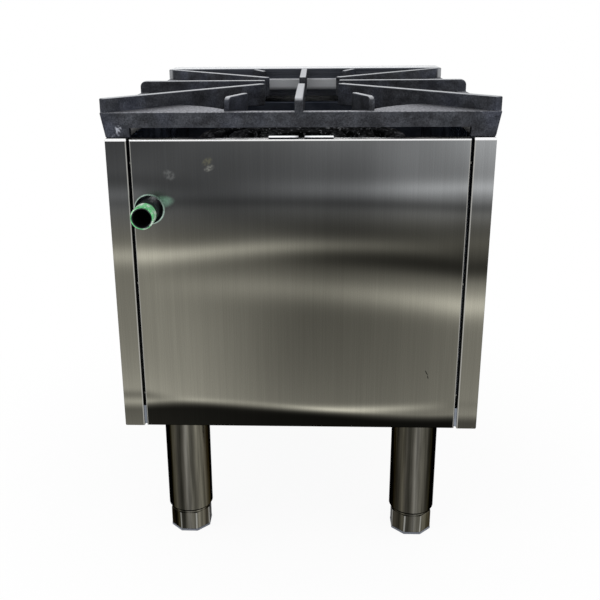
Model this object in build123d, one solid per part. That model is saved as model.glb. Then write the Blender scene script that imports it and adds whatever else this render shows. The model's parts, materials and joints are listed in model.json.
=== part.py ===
"""Single-burner gas stock pot range, as an assembly of separate pieces.

Millimetres. +Z is up and the front, with the control knobs, faces -Y. Left and right are as seen from
the front, so right is +X. The origin is on the floor, under the middle of the overall box.
Each function makes one piece or one group of like pieces. The last section names and writes them.
"""

import math
import os

from build123d import *

# ---------------------------------------------------------------- driving sizes: body
BODY_WIDTH = 457.0
BODY_DEPTH = 575.0
BODY_HEIGHT = 374.0
LEG_HEIGHT = 190.0
PIPE_REACH = 45.0
KNOB_REACH = 45.0

FULL_TURN = 360.0
QUARTER_TURN = 90.0

# sheet thicknesses, and the inside radius of a fold
SHEET = 1.2
LINER_SHEET = 1.0
BRACKET_SHEET = 1.5
RAIL_SHEET = 2.0
FOLD_RADIUS = 1.2
EDGE_RADIUS = 1.8

# clearances
TOUCH_GAP = 0.05
SLIDE_GAP = 0.3
PART_GAP = 1.0
HOLE_GAP = 2.0

# side panels, rear panel and the uprights between them
SIDE_FLANGE = 25.5
REAR_RETURN = 15.0
REAR_SEAM = 3.2
REAR_PANEL_DROP = 1.0
UPRIGHT_DROP = 3.0
UPRIGHT_RELIEF = 0.3

# front panels
FRONT_RETURN = 20.0
FRONT_LIP = 16.0
FRONT_SEAM = 2.0
CONTROL_PANEL_HEIGHT = 166.0
TRAY_FRONT_HEIGHT = 58.0
LEDGE_DEPTH = 62.0
LEDGE_OVERHANG = 3.5
LEDGE_NOSE = 9.0
LEDGE_GAP = 3.0

# base rails and legs
RAIL_HEIGHT = 27.0
RAIL_MARGIN = 8.0
LEG_INSET_X = 70.5
LEG_INSET_Y = 70.0
LEG_PLATE = 88.0
LEG_PLATE_THICKNESS = 3.0
LEG_TUBE_DIAMETER = 62.0
LEG_TUBE_WALL = 1.5
LEG_NECK_DIAMETER = 55.0
LEG_NECK_BOTTOM = 30.0
LEG_NECK_LENGTH = 2.0
LEG_SWAGE_LENGTH = 4.0
INSERT_THICKNESS = 14.0
LEVELLING_TRAVEL = 25.0
FOOT_FLATS = 54.4
FOOT_CHAMFER = 0.8
FOOT_STEM_DIAMETER = 16.0
FOOT_STEM_SPARE = 11.0
PAD_THICKNESS = 3.0
PAD_MARGIN = 0.2
HALF_CORNER_ANGLE = 22.5

# fasteners
LEG_BOLT_DIAMETER = 8.0
LEG_BOLT_SPACING = 66.0
LEG_BOLT_HEAD_FLATS = 13.0
LEG_BOLT_HEAD_HEIGHT = 5.0
SCREW_DIAMETER = 4.0
SCREW_HEAD_DIAMETER = 8.0
SCREW_HEAD_HEIGHT = 2.4
SCREW_POINT = 1.5

# crumb tray
TRAY_DEPTH = 24.0
TRAY_SIDE_GAP = 3.0
TRAY_REAR_GAP = 25.0
TRAY_LIFT = 4.0
RUNNER_OVERLAP = 14.0
RUNNER_UPSTAND = 20.0
PULL_WIDTH = 150.0
PULL_REACH = 24.0
PULL_DROP = 10.0
PULL_HEIGHT = 16.0
PULL_SETDOWN = 3.6

# liners and heat shield
LINER_STANDOFF = 24.0
LINER_BOTTOM_GAP = 14.0
SHIELD_SETBACK = 75.0
SHIELD_RETURN = 12.0
SHIELD_HEIGHT = 150.0
SHIELD_DROP = 9.0

# grate, one casting
GRATE_HEIGHT = 46.0
GRATE_OVERHANG = 4.5
GRATE_RAIL_WIDTH = 14.0
GRATE_RAIL_TOP = 30.0
GRATE_RAIL_BOTTOM = 12.0
GRATE_DRAFT = 4.5
GRATE_CORNER_RADIUS = 5.0
GRATE_FOOT_WIDTH = 34.0
GRATE_FOOT_CHAMFER = 1.0
GRATE_EDGE_RADIUS = 1.5
FINGER_THICKNESS = 10.0
FINGER_DEPTH = 29.0
FINGER_RAIL_DEPTH = 20.0
FINGER_SETBACK = 0.2
FINGER_SEAT = 3.0
FINGER_OUTER_RADIUS = 8.0
FINGER_HAUNCH_SHARE = 0.45
OPENING_HALF_WIDTH = 53.0
OPENING_HALF_DEPTH = 57.5
CORNER_FINGER_INSET = 3.6
WEB_THICKNESS = 7.0
WEB_FINGER_LENGTH = 104.0
WEB_RAIL_LENGTH = 146.0
WEB_SAG = 12.0
STUB_THICKNESS = 7.0
STUB_BASE_OFFSET = 85.0
STUB_TIP_OFFSET = 66.0
STUB_TIP_DEPTH = 62.0
STUB_BASE_DEPTH = 12.0
STUB_DEPTH = 24.0

# burner castings
BURNER_TOP_DROP = 30.0
RING_HEIGHT = 30.0
RING_WIDTH = 24.0
RING_WALL = 4.0
RING_CHAMFER = 3.0
OUTER_RING_RADIUS = 138.0
MIDDLE_RING_RADIUS = 95.0
INNER_RING_RADIUS = 52.0
PORT_DIAMETER = 4.0
PORT_PITCH = 15.0
ARM_WIDTH = 16.0
ARM_HEIGHT = 18.0
MIXER_SPACING = 112.0
MIXER_DROP = 54.0
MIXER_BELL_DIAMETER = 50.0
MIXER_BELL_LENGTH = 32.0
MIXER_TUBE_DIAMETER = 36.0
MIXER_WALL = 4.0
MIXER_TAPER = 30.0
MIXER_THROAT_DIAMETER = 22.0
MIXER_END_LENGTH = 20.0
RISER_DIAMETER = 28.0
WINDOW_LENGTH = 12.0
WINDOW_START = 4.0
WINDOW_COUNT = 3
WINDOW_ANGLE = 60.0
SHUTTER_WALL = 1.5
SHUTTER_LENGTH = 18.0
SHUTTER_TRAVEL_GAP = 0.5

# burner supports
BAR_WIDTH = 30.0
BAR_LEG = 22.0
BAR_END_TAB = 24.0
PAD_LENGTH = 16.0
PAD_WIDTH = 24.0
PAD_HEIGHT = 2.0
FRONT_BAR_OFFSET = 180.0
TAB_DEPTH = 18.0
TAB_SETBACK = 2.0
TAB_LEFT = 40.5
TAB_RIGHT = 35.5
TAB_SLOT_WIDTH = 7.5
TAB_SLOT_CENTRE = -3.0
TAB_UNDER_RING = 30.0

# gas train
PIPE_DIAMETER = 26.7
PIPE_BORE_DIAMETER = 22.0
PIPE_MOUTH_CHAMFER = 1.4
INLET_INSET = 48.0
INLET_DROP = 85.0
INLET_HOLE_DIAMETER = 34.5
TAPE_START = 1.0
TAPE_LENGTH = 19.0
TAPE_THICKNESS = 0.6
TAPE_STANDOFF = 0.25
MANIFOLD_SETBACK = 28.0
MANIFOLD_OVERHANG = 49.0
ELBOW_ARM = 33.0
ELBOW_BODY_DIAMETER = 35.0
ELBOW_COLLAR_DIAMETER = 39.0
ELBOW_COLLAR_LENGTH = 10.0
ELBOW_SOCKET = 14.0
CAP_DIAMETER = 36.0
CAP_LENGTH = 20.0
BOSS_DIAMETER = 22.0
NIPPLE_DIAMETER = 13.6
VALVE_BODY_DIAMETER = 26.0
VALVE_BODY_LENGTH = 27.0
VALVE_NECK_DIAMETER = 18.0
VALVE_NECK_LENGTH = 7.5
HOOD_DIAMETER = 16.0
HOOD_LENGTH = 10.0
SPUD_FLATS = 9.5
SPUD_LENGTH = 8.5
SPUD_HOLE_DIAMETER = 2.4
HANGER_THICKNESS = 3.0
HANGER_RING = 5.0
HANGER_FOOT = 18.0
HANGER_OFFSET = 28.0

# knobs
STEM_DIAMETER = 8.0
STEM_IN_VALVE = 18.0
STEM_IN_KNOB = 22.0
BEZEL_DIAMETER = 66.0
BEZEL_THICKNESS = 2.0
KNOB_CLEARANCE = 1.5
KNOB_SKIRT_DIAMETER = 54.0
KNOB_SKIRT_HEIGHT = 8.0
KNOB_GRIP_WIDTH = 13.0
KNOB_GRIP_LENGTH = 50.0
KNOB_CORE_DIAMETER = 34.0
KNOB_EDGE = 1.5

# pilot
PILOT_VALVE_DIAMETER = 14.0
PILOT_VALVE_HEIGHT = 22.0
PILOT_NIPPLE_DIAMETER = 6.8
PILOT_TUBE_DIAMETER = 6.4
PILOT_TUBE_BEND = 18.0
PILOT_STRIP_WIDTH = 18.0
PILOT_TIP_DIAMETER = 10.0
PILOT_TIP_HEIGHT = 16.0
PILOT_BORE_DIAMETER = 5.0
PILOT_RING_GAP = 8.0

# ---------------------------------------------------------------- places worked out from them
HALF_WIDTH = BODY_WIDTH / 2
OVERALL_DEPTH = BODY_DEPTH + PIPE_REACH + KNOB_REACH
FRONT = KNOB_REACH - OVERALL_DEPTH / 2
REAR = FRONT + BODY_DEPTH
BOTTOM = LEG_HEIGHT
TOP = BOTTOM + BODY_HEIGHT
SIDE_FRONT = FRONT + FRONT_RETURN
SIDE_INNER = HALF_WIDTH - SHEET
FLANGE_EDGE = HALF_WIDTH - SIDE_FLANGE
PANEL_HALF = FLANGE_EDGE - REAR_SEAM
FOOT_STEM_LENGTH = LEVELLING_TRAVEL + INSERT_THICKNESS + FOOT_STEM_SPARE
RAIL_BOTTOM = BOTTOM + SHEET
RAIL_WEB_TOP = RAIL_BOTTOM + RAIL_SHEET
RAIL_TOP = RAIL_BOTTOM + RAIL_HEIGHT
SILL_TOP = RAIL_TOP + PART_GAP
UPRIGHT_BACK = REAR - SHEET - RAIL_SHEET - PART_GAP
UPRIGHT_WEB = REAR - REAR_RETURN - FOLD_RADIUS - UPRIGHT_RELIEF - BRACKET_SHEET
CONTROL_BOTTOM = TOP - CONTROL_PANEL_HEIGHT
TRAY_FRONT_TOP = BOTTOM + TRAY_FRONT_HEIGHT
TRAY_FLOOR = RAIL_TOP + TRAY_LIFT
TRAY_HALF = FLANGE_EDGE - TRAY_SIDE_GAP
TRAY_REAR = REAR - TRAY_REAR_GAP
LEG_X = HALF_WIDTH - LEG_INSET_X
LEG_REAR_Y = REAR - LEG_INSET_Y
LEG_FRONT_Y = FRONT + LEG_INSET_Y
LINER_X = HALF_WIDTH - LINER_STANDOFF
LINER_FRONT = SIDE_FRONT + SHEET
LINER_REAR = UPRIGHT_WEB - PART_GAP
LINER_BOTTOM = TRAY_FLOOR + TRAY_DEPTH + LINER_BOTTOM_GAP
SHIELD_Y = FRONT + SHIELD_SETBACK
SHIELD_TOP = TOP - SHIELD_DROP
SHIELD_BOTTOM = SHIELD_TOP - SHIELD_HEIGHT
LEDGE_REAR = FRONT + LEDGE_DEPTH
GRATE_WIDTH = BODY_WIDTH + GRATE_OVERHANG * 2
GRATE_DEPTH = BODY_DEPTH - LEDGE_DEPTH - LEDGE_GAP
GRATE_Y = REAR - GRATE_DEPTH / 2
BURNER_Y = GRATE_Y
RING_TOP = TOP - BURNER_TOP_DROP
RING_BOTTOM = RING_TOP - RING_HEIGHT
MIXER_X = MIXER_SPACING / 2
MIXER_Z = RING_BOTTOM - MIXER_DROP
PIPE_X = HALF_WIDTH - INLET_INSET
PIPE_Z = TOP - INLET_DROP
PIPE_RADIUS = PIPE_DIAMETER / 2
TAPE_RADIUS = PIPE_RADIUS + TAPE_STANDOFF
PIPE_END = REAR + PIPE_REACH
MANIFOLD_Y = FRONT + MANIFOLD_SETBACK
VALVE_Z = MIXER_Z
BOSS_BOTTOM = VALVE_Z + VALVE_BODY_DIAMETER / 2 + PART_GAP
VALVE_BACK = MANIFOLD_Y + VALVE_BODY_LENGTH / 2
VALVE_FRONT = MANIFOLD_Y - VALVE_BODY_LENGTH / 2
HOOD_END = VALVE_BACK + HOOD_LENGTH
SPUD_END = HOOD_END + SPUD_LENGTH
MIXER_MOUTH = SPUD_END - SPUD_LENGTH / 2
BAR_TOP = MIXER_Z - MIXER_TUBE_DIAMETER / 2 - PAD_HEIGHT
FRONT_BAR_Y = BURNER_Y - FRONT_BAR_OFFSET
KNOB_BACK = FRONT - BEZEL_THICKNESS - KNOB_CLEARANCE
KNOB_FRONT = FRONT - KNOB_REACH


# ---------------------------------------------------------------- small helpers
def block(x, y, z):
    """Box between two values on each axis."""
    centre = ((x[0] + x[1]) / 2, (y[0] + y[1]) / 2, (z[0] + z[1]) / 2)
    return Pos(*centre) * Box(x[1] - x[0], y[1] - y[0], z[1] - z[0])


def rod(start, end, radius):
    """Round bar from one point to another."""
    axis = Vector(*end) - Vector(*start)
    place = Plane(origin=start, z_dir=axis)
    return place * Cylinder(radius, axis.length, align=(Align.CENTER, Align.CENTER, Align.MIN))


def pipe(start, end, outer_radius, inner_radius):
    """Round tube from one point to another."""
    return rod(start, end, outer_radius) - rod(start, end, inner_radius)


def hexagon(start, end, flats):
    """Hexagonal bar from one point to another, by the width across its flats."""
    axis = Vector(*end) - Vector(*start)
    place = Plane(origin=start, z_dir=axis)
    return extrude(place * RegularPolygon(flats / 2, 6, major_radius=False), axis.length, dir=axis)


def octagon(flats):
    """Eight-sided face with a flat towards each axis, by the width across its flats."""
    return Rot(0, 0, HALF_CORNER_ANGLE) * RegularPolygon(flats / 2, 8, major_radius=False)


def opposite(part):
    """The same piece on the other side of the range."""
    return mirror(part, about=Plane.YZ)


def edges_at(part, axis, **place):
    """Straight edges along an axis whose middle lies at the given coordinates."""
    found = []
    for edge in part.edges().filter_by(axis):
        middle = edge.center()
        where = {"x": middle.X, "y": middle.Y, "z": middle.Z}
        if all(abs(where[name] - value) < TOUCH_GAP for name, value in place.items()):
            found.append(edge)
    return found


def right_normal(start, end):
    """Unit vector to the right of the way from one point to the next."""
    length = math.dist(start, end)
    return ((end[1] - start[1]) / length, (start[0] - end[0]) / length)


def rounded_outline(corners, radii):
    """Face inside a closed run of corners, each rounded by its own radius."""
    edges = []
    ends = []
    for index, corner in enumerate(corners):
        before = Vector(*corners[index - 1])
        here = Vector(*corner)
        after = Vector(*corners[(index + 1) % len(corners)])
        back = (before - here).normalized()
        ahead = (after - here).normalized()
        if radii[index] <= 0:
            ends.append((here, here))
            continue
        half_angle = math.radians(back.get_angle(ahead)) / 2
        reach = radii[index] / math.tan(half_angle)
        inward = (back + ahead).normalized()
        centre = here + inward * (radii[index] / math.sin(half_angle))
        first = here + back * reach
        last = here + ahead * reach
        edges.append(ThreePointArc(first, centre - inward * radii[index], last))
        ends.append((first, last))
    for index, (_, leave) in enumerate(ends):
        arrive = ends[(index + 1) % len(ends)][0]
        edges.append(Line(leave, arrive))
    return make_face(edges)


def folded(path, thickness, inside_radius=FOLD_RADIUS):
    """Section of a folded sheet. The path is its outside, run so that the sheet lies to the right."""
    inner = []
    for index, point in enumerate(path):
        normals = []
        if index > 0:
            normals.append(right_normal(path[index - 1], point))
        if index < len(path) - 1:
            normals.append(right_normal(point, path[index + 1]))
        along = (normals[0][0] + normals[-1][0], normals[0][1] + normals[-1][1])
        scale = thickness / (1 + normals[0][0] * normals[-1][0] + normals[0][1] * normals[-1][1])
        inner.append((point[0] + along[0] * scale, point[1] + along[1] * scale))
    outer_radii = [0.0] * len(path)
    inner_radii = [0.0] * len(path)
    for index in range(1, len(path) - 1):
        first = right_normal(path[index - 1], path[index])
        second = right_normal(path[index], path[index + 1])
        turns_left = first[0] * second[1] - first[1] * second[0] > 0
        outer_radii[index] = inside_radius if turns_left else inside_radius + thickness
        inner_radii[index] = inside_radius + thickness if turns_left else inside_radius
    return rounded_outline(path + inner[::-1], outer_radii + inner_radii[::-1])


def along_x(section, start, end):
    """Solid with the given section in Y and Z, between two X values."""
    return extrude(Plane.YZ.offset(start) * section, end - start, dir=(1, 0, 0))


def along_y(section, start, end):
    """Solid with the given section in X and Z, between two Y values."""
    return extrude(Plane.XZ.offset(-start) * section, end - start, dir=(0, 1, 0))


def along_z(section, start, end):
    """Solid with the given section in X and Y, between two Z values."""
    return extrude(Plane.XY.offset(start) * section, end - start, dir=(0, 0, 1))


def pan(x, y, z, open_side, thickness, edge_radius=EDGE_RADIUS):
    """Sheet box with one side open and the edges of the opposite face rounded."""
    axes = {"x": Axis.X, "y": Axis.Y, "z": Axis.Z}
    outer = block(x, y, z)
    end_face = outer.faces().sort_by(axes[open_side[1]])[-1 if open_side[0] == "-" else 0]
    outer = fillet(end_face.edges(), edge_radius)
    spans = {}
    for name, span in (("x", x), ("y", y), ("z", z)):
        low = span[0] - thickness if open_side == "-" + name else span[0] + thickness
        high = span[1] + thickness if open_side == "+" + name else span[1] - thickness
        spans[name] = (low, high)
    return outer - block(spans["x"], spans["y"], spans["z"])


def revolved(profile, origin, axis):
    """Solid of revolution. The profile is (distance from the axis, distance along it)."""
    place = Plane(origin=origin, x_dir=Vector(1, 0, 0), z_dir=Vector(*axis).cross(Vector(1, 0, 0)) * -1)
    face = place * make_face(Polyline(*profile, close=True))
    return revolve(face, Axis(origin, axis))


# ---------------------------------------------------------------- fastener places
def leg_places():
    """Name and centre of each leg."""
    return {
        "front_left": (-LEG_X, LEG_FRONT_Y),
        "front_right": (LEG_X, LEG_FRONT_Y),
        "rear_left": (-LEG_X, LEG_REAR_Y),
        "rear_right": (LEG_X, LEG_REAR_Y),
    }


def leg_bolt_places():
    """Centre of each bolt through the leg plates."""
    offset = LEG_BOLT_SPACING / 2
    places = []
    for x, y in leg_places().values():
        places += [(x + sx * offset, y + sy * offset) for sx in (-1, 1) for sy in (-1, 1)]
    return places


def bolt_holes(low, high):
    """Clearance holes for the leg bolts between two heights."""
    radius = LEG_BOLT_DIAMETER / 2 + SLIDE_GAP
    return [rod((x, y, low), (x, y, high), radius) for x, y in leg_bolt_places()]


def rear_screw_heights():
    """Heights of the three screws in each upright."""
    low = SILL_TOP + REAR_RETURN
    high = TOP - REAR_RETURN * 2
    return [low, (low + high) / 2, high]


def rear_screw_y():
    """Depth of the screws that hold the rear panel to the uprights."""
    return REAR - REAR_RETURN / 2


def front_screw_places():
    """X and Z of the screws that hold the control panel and the lower front panel."""
    x = HALF_WIDTH - FRONT_LIP / 2
    control = (CONTROL_BOTTOM + FRONT_RETURN, TOP - FRONT_RETURN)
    lower = (TRAY_FRONT_TOP + FRONT_SEAM + FRONT_RETURN, CONTROL_BOTTOM - FRONT_SEAM - FRONT_RETURN)
    return [(side * x, z) for side in (-1, 1) for z in control + lower]


def front_screw_holes():
    """Holes for the front screws through the lips and the side panels' front flanges."""
    radius = SCREW_DIAMETER / 2 + TOUCH_GAP
    start = SIDE_FRONT - SHEET * 2
    return [rod((x, start, z), (x, SIDE_FRONT + SHEET * 2, z), radius) for x, z in front_screw_places()]


# ---------------------------------------------------------------- outer sheet metal
def side_panel():
    """Right side: a wall with flanges all round, and a return behind the rear flange."""
    wall = pan((FLANGE_EDGE, HALF_WIDTH), (SIDE_FRONT, REAR), (BOTTOM, TOP), "-x", SHEET)
    return_y = (REAR - REAR_RETURN, REAR - SHEET / 2)
    strip = block((FLANGE_EDGE, FLANGE_EDGE + SHEET), return_y, (SILL_TOP, TOP))
    panel = wall + strip
    panel = fillet(edges_at(panel, Axis.Z, x=FLANGE_EDGE, y=REAR), SHEET / 2)
    return panel - front_screw_holes()


def rear_panel():
    """Rear panel with returned edges, a hole for the inlet pipe, and room for the sill below."""
    span = (-PANEL_HALF, PANEL_HALF)
    panel = pan(span, (REAR - REAR_RETURN, REAR), (BOTTOM, TOP - REAR_PANEL_DROP), "-y", SHEET)
    panel -= block(span, (REAR - REAR_RETURN, REAR - SHEET), (BOTTOM, SILL_TOP))
    radius = INLET_HOLE_DIAMETER / 2
    hole = rod((PIPE_X, REAR - SHEET * 2, PIPE_Z), (PIPE_X, REAR + SHEET, PIPE_Z), radius)
    return panel - hole - rear_screw_holes()


def upright():
    """Right rear upright: a channel that clasps the side panel's return and the rear panel's return."""
    inner = PANEL_HALF - SHEET - BRACKET_SHEET
    outer = FLANGE_EDGE + SHEET + BRACKET_SHEET
    path = [(outer, UPRIGHT_BACK), (outer, UPRIGHT_WEB), (inner, UPRIGHT_WEB), (inner, UPRIGHT_BACK)]
    return along_z(folded(path, BRACKET_SHEET), RAIL_WEB_TOP, TOP - UPRIGHT_DROP) - rear_screw_holes()


def rear_screw_holes():
    """Holes through the uprights' inner flanges and the rear panel's returns."""
    inner = PANEL_HALF - SHEET - BRACKET_SHEET - PART_GAP
    outer = PANEL_HALF + PART_GAP
    radius = SCREW_DIAMETER / 2 + TOUCH_GAP
    y = rear_screw_y()
    holes = [rod((inner, y, z), (outer, y, z), radius) for z in rear_screw_heights()]
    return holes + [opposite(hole) for hole in holes]


def rear_screws():
    """Screws from inside, through the uprights, into the rear panel's returns."""
    seat = PANEL_HALF - SHEET - BRACKET_SHEET
    y = rear_screw_y()
    screws = []
    for z in rear_screw_heights():
        head = rod((seat - SCREW_HEAD_HEIGHT, y, z), (seat, y, z), SCREW_HEAD_DIAMETER / 2)
        screw = head + rod((seat, y, z), (PANEL_HALF + SCREW_POINT, y, z), SCREW_DIAMETER / 2)
        screws += [screw, opposite(screw)]
    return screws


def front_pan(low, high):
    """Front panel over the full width between two heights, with a lip for its screws on each side."""
    panel = pan((-HALF_WIDTH, HALF_WIDTH), (FRONT, SIDE_FRONT), (low, high), "+y", SHEET)
    lip_x = (HALF_WIDTH - FRONT_LIP, HALF_WIDTH - SHEET / 2)
    lip = block(lip_x, (SIDE_FRONT - SHEET, SIDE_FRONT), (low + SHEET / 2, high - SHEET / 2))
    panel += [lip, opposite(lip)]
    return panel - front_screw_holes()


def control_panel():
    """Upper front panel, with a hole for each valve stem."""
    panel = front_pan(CONTROL_BOTTOM, TOP)
    radius = STEM_DIAMETER / 2 + HOLE_GAP
    for x in (-MIXER_X, MIXER_X):
        panel -= rod((x, FRONT - SHEET, VALVE_Z), (x, FRONT + SHEET * 2, VALVE_Z), radius)
    return panel


def lower_front_panel():
    """Panel between the control panel and the crumb tray."""
    return front_pan(TRAY_FRONT_TOP + FRONT_SEAM, CONTROL_BOTTOM - FRONT_SEAM)


def front_screws():
    """Screws from inside, through the side panels' front flanges, into the front panels' lips."""
    seat = SIDE_FRONT + SHEET
    screws = []
    for x, z in front_screw_places():
        head = rod((x, seat, z), (x, seat + SCREW_HEAD_HEIGHT, z), SCREW_HEAD_DIAMETER / 2)
        shank = rod((x, SIDE_FRONT - SHEET - SCREW_POINT, z), (x, seat, z), SCREW_DIAMETER / 2)
        screws.append(head + shank)
    return screws


def landing_ledge():
    """Box-shaped ledge over the controls, level with the grate, with a rounded front edge."""
    half = HALF_WIDTH + LEDGE_OVERHANG
    high = TOP + GRATE_HEIGHT
    outer = block((-half, half), (FRONT, LEDGE_REAR), (TOP, high))
    outer = fillet(edges_at(outer, Axis.X, y=FRONT, z=high), LEDGE_NOSE)
    outer = fillet(edges_at(outer, Axis.X, y=LEDGE_REAR, z=high), EDGE_RADIUS)
    outer = fillet(edges_at(outer, Axis.Z, y=FRONT), EDGE_RADIUS)
    depth = (FRONT + SHEET, LEDGE_REAR - SHEET)
    inner = block((SHEET - half, half - SHEET), depth, (TOP - SHEET, high - SHEET))
    inner = fillet(edges_at(inner, Axis.X, y=FRONT + SHEET, z=high - SHEET), LEDGE_NOSE - SHEET)
    return outer - inner


# ---------------------------------------------------------------- base and legs
def base_rail(front, back):
    """Channel across the bottom, open upwards, with holes for the leg bolts."""
    path = [(back, RAIL_TOP), (back, RAIL_BOTTOM), (front, RAIL_BOTTOM), (front, RAIL_TOP)]
    rail = along_x(folded(path, RAIL_SHEET), -SIDE_INNER, SIDE_INNER)
    return rail - bolt_holes(RAIL_BOTTOM - PART_GAP, RAIL_WEB_TOP + PART_GAP)


def rear_base_rail():
    """Rail over the rear legs. Its rear flange is the sill behind the rear panel."""
    return base_rail(LEG_REAR_Y - LEG_PLATE / 2 - RAIL_MARGIN, REAR - SHEET)


def front_base_rail():
    """Rail over the front legs."""
    return base_rail(SIDE_FRONT + SHEET, LEG_FRONT_Y + LEG_PLATE / 2 + RAIL_MARGIN)


def leg(x, y):
    """Leg: a tube with a square plate welded on top and a necked lower end."""
    plate_bottom = RAIL_BOTTOM - LEG_PLATE_THICKNESS
    half = LEG_PLATE / 2
    plate = block((x - half, x + half), (y - half, y + half), (plate_bottom, RAIL_BOTTOM))
    outer = LEG_TUBE_DIAMETER / 2
    neck = LEG_NECK_DIAMETER / 2
    neck_top = LEG_NECK_BOTTOM + LEG_NECK_LENGTH
    shoulder = neck_top + LEG_SWAGE_LENGTH
    profile = [
        (neck, LEG_NECK_BOTTOM),
        (neck, neck_top),
        (outer, shoulder),
        (outer, plate_bottom),
        (outer - LEG_TUBE_WALL, plate_bottom),
        (outer - LEG_TUBE_WALL, shoulder),
        (neck - LEG_TUBE_WALL, neck_top),
        (neck - LEG_TUBE_WALL, LEG_NECK_BOTTOM),
    ]
    tube = revolved(profile, (x, y, 0), (0, 0, 1))
    return plate + tube - bolt_holes(plate_bottom - PART_GAP, RAIL_BOTTOM + PART_GAP)


def leg_insert(x, y):
    """Threaded plug in the leg's neck, which carries the foot's stem."""
    radius = LEG_NECK_DIAMETER / 2 - LEG_TUBE_WALL - TOUCH_GAP
    low = LEG_NECK_BOTTOM + PART_GAP
    bore = FOOT_STEM_DIAMETER / 2 + TOUCH_GAP
    return pipe((x, y, low), (x, y, low + INSERT_THICKNESS), radius, bore)


def foot(x, y):
    """Eight-sided adjustable foot with its threaded stem."""
    high = LEG_NECK_BOTTOM - SLIDE_GAP
    outline = octagon(FOOT_FLATS)
    body = extrude(Pos(x, y, PAD_THICKNESS) * outline, high - PAD_THICKNESS)
    body = chamfer(body.faces().sort_by(Axis.Z)[-1].edges(), FOOT_CHAMFER)
    return body + rod((x, y, high), (x, y, high + FOOT_STEM_LENGTH), FOOT_STEM_DIAMETER / 2)


def foot_pad(x, y):
    """Plastic pad under the foot."""
    outline = octagon(FOOT_FLATS + PAD_MARGIN * 2)
    return extrude(Pos(x, y, 0) * outline, PAD_THICKNESS)


def leg_bolts():
    """Bolts up through the leg plates and the rails, each with its nut."""
    seat = RAIL_BOTTOM - LEG_PLATE_THICKNESS
    nut_top = RAIL_WEB_TOP + LEG_BOLT_HEAD_HEIGHT
    radius = LEG_BOLT_DIAMETER / 2
    bolts = []
    for x, y in leg_bolt_places():
        head = hexagon((x, y, seat - LEG_BOLT_HEAD_HEIGHT), (x, y, seat), LEG_BOLT_HEAD_FLATS)
        bolts.append(head + rod((x, y, seat), (x, y, nut_top + SCREW_POINT), radius))
        nut = hexagon((x, y, RAIL_WEB_TOP), (x, y, nut_top), LEG_BOLT_HEAD_FLATS)
        bolts.append(nut - rod((x, y, RAIL_WEB_TOP), (x, y, nut_top), radius + TOUCH_GAP))
    return bolts


# ---------------------------------------------------------------- crumb tray
def crumb_tray():
    """Shallow pan under the burner, open upwards."""
    span = (-TRAY_HALF, TRAY_HALF)
    return pan(span, (FRONT + SHEET, TRAY_REAR), (TRAY_FLOOR, TRAY_FLOOR + TRAY_DEPTH), "+z", SHEET)


def tray_front():
    """Front of the crumb tray, in line with the panels above it."""
    return pan((-HALF_WIDTH, HALF_WIDTH), (FRONT, SIDE_FRONT), (BOTTOM, TRAY_FRONT_TOP), "+y", SHEET)


def tray_pull():
    """Folded finger pull on the tray's front."""
    high = BOTTOM + TRAY_FRONT_HEIGHT / 2 + PULL_HEIGHT / 2
    shelf = high - PULL_SETDOWN
    tip = FRONT - PULL_REACH
    path = [(FRONT, shelf - PULL_HEIGHT), (FRONT, shelf), (tip, shelf), (tip, shelf - PULL_DROP)]
    return along_x(folded(path[::-1], BRACKET_SHEET), -PULL_WIDTH / 2, PULL_WIDTH / 2)


def tray_runner():
    """Right runner: an angle on the side panel's inner face, under the tray's edge."""
    low = TRAY_FLOOR - SLIDE_GAP - BRACKET_SHEET
    path = [(SIDE_INNER, TRAY_FLOOR + RUNNER_UPSTAND), (SIDE_INNER, low), (TRAY_HALF - RUNNER_OVERLAP, low)]
    return along_y(folded(path, BRACKET_SHEET), SIDE_FRONT + SHEET, TRAY_REAR)


# ---------------------------------------------------------------- liners and heat shield
def side_liner():
    """Right liner: a sheet that stands off the side panel, flanged top and bottom."""
    high = TOP - SHEET
    path = [(SIDE_INNER, LINER_BOTTOM), (LINER_X, LINER_BOTTOM), (LINER_X, high), (SIDE_INNER, high)]
    return along_y(folded(path, LINER_SHEET), LINER_FRONT, LINER_REAR)


def front_heat_shield():
    """Wall between the fire space and the controls, with holes for the mixers and the pipes."""
    span = (-LINER_X, LINER_X)
    shield = pan(span, (SHIELD_Y - SHIELD_RETURN, SHIELD_Y), (SHIELD_BOTTOM, SHIELD_TOP), "-y", LINER_SHEET)
    low = SHIELD_Y - HOLE_GAP
    high = SHIELD_Y + HOLE_GAP
    for x in (-MIXER_X, MIXER_X):
        shield -= rod((x, low, MIXER_Z), (x, high, MIXER_Z), MIXER_BELL_DIAMETER / 2 + HOLE_GAP)
    shield -= rod((PIPE_X, low, PIPE_Z), (PIPE_X, high, PIPE_Z), PIPE_RADIUS + HOLE_GAP)
    pilot_z = pilot_outlet()[2]
    return shield - rod((0, low, pilot_z), (0, high, pilot_z), PILOT_TUBE_DIAMETER / 2 + HOLE_GAP)


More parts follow.
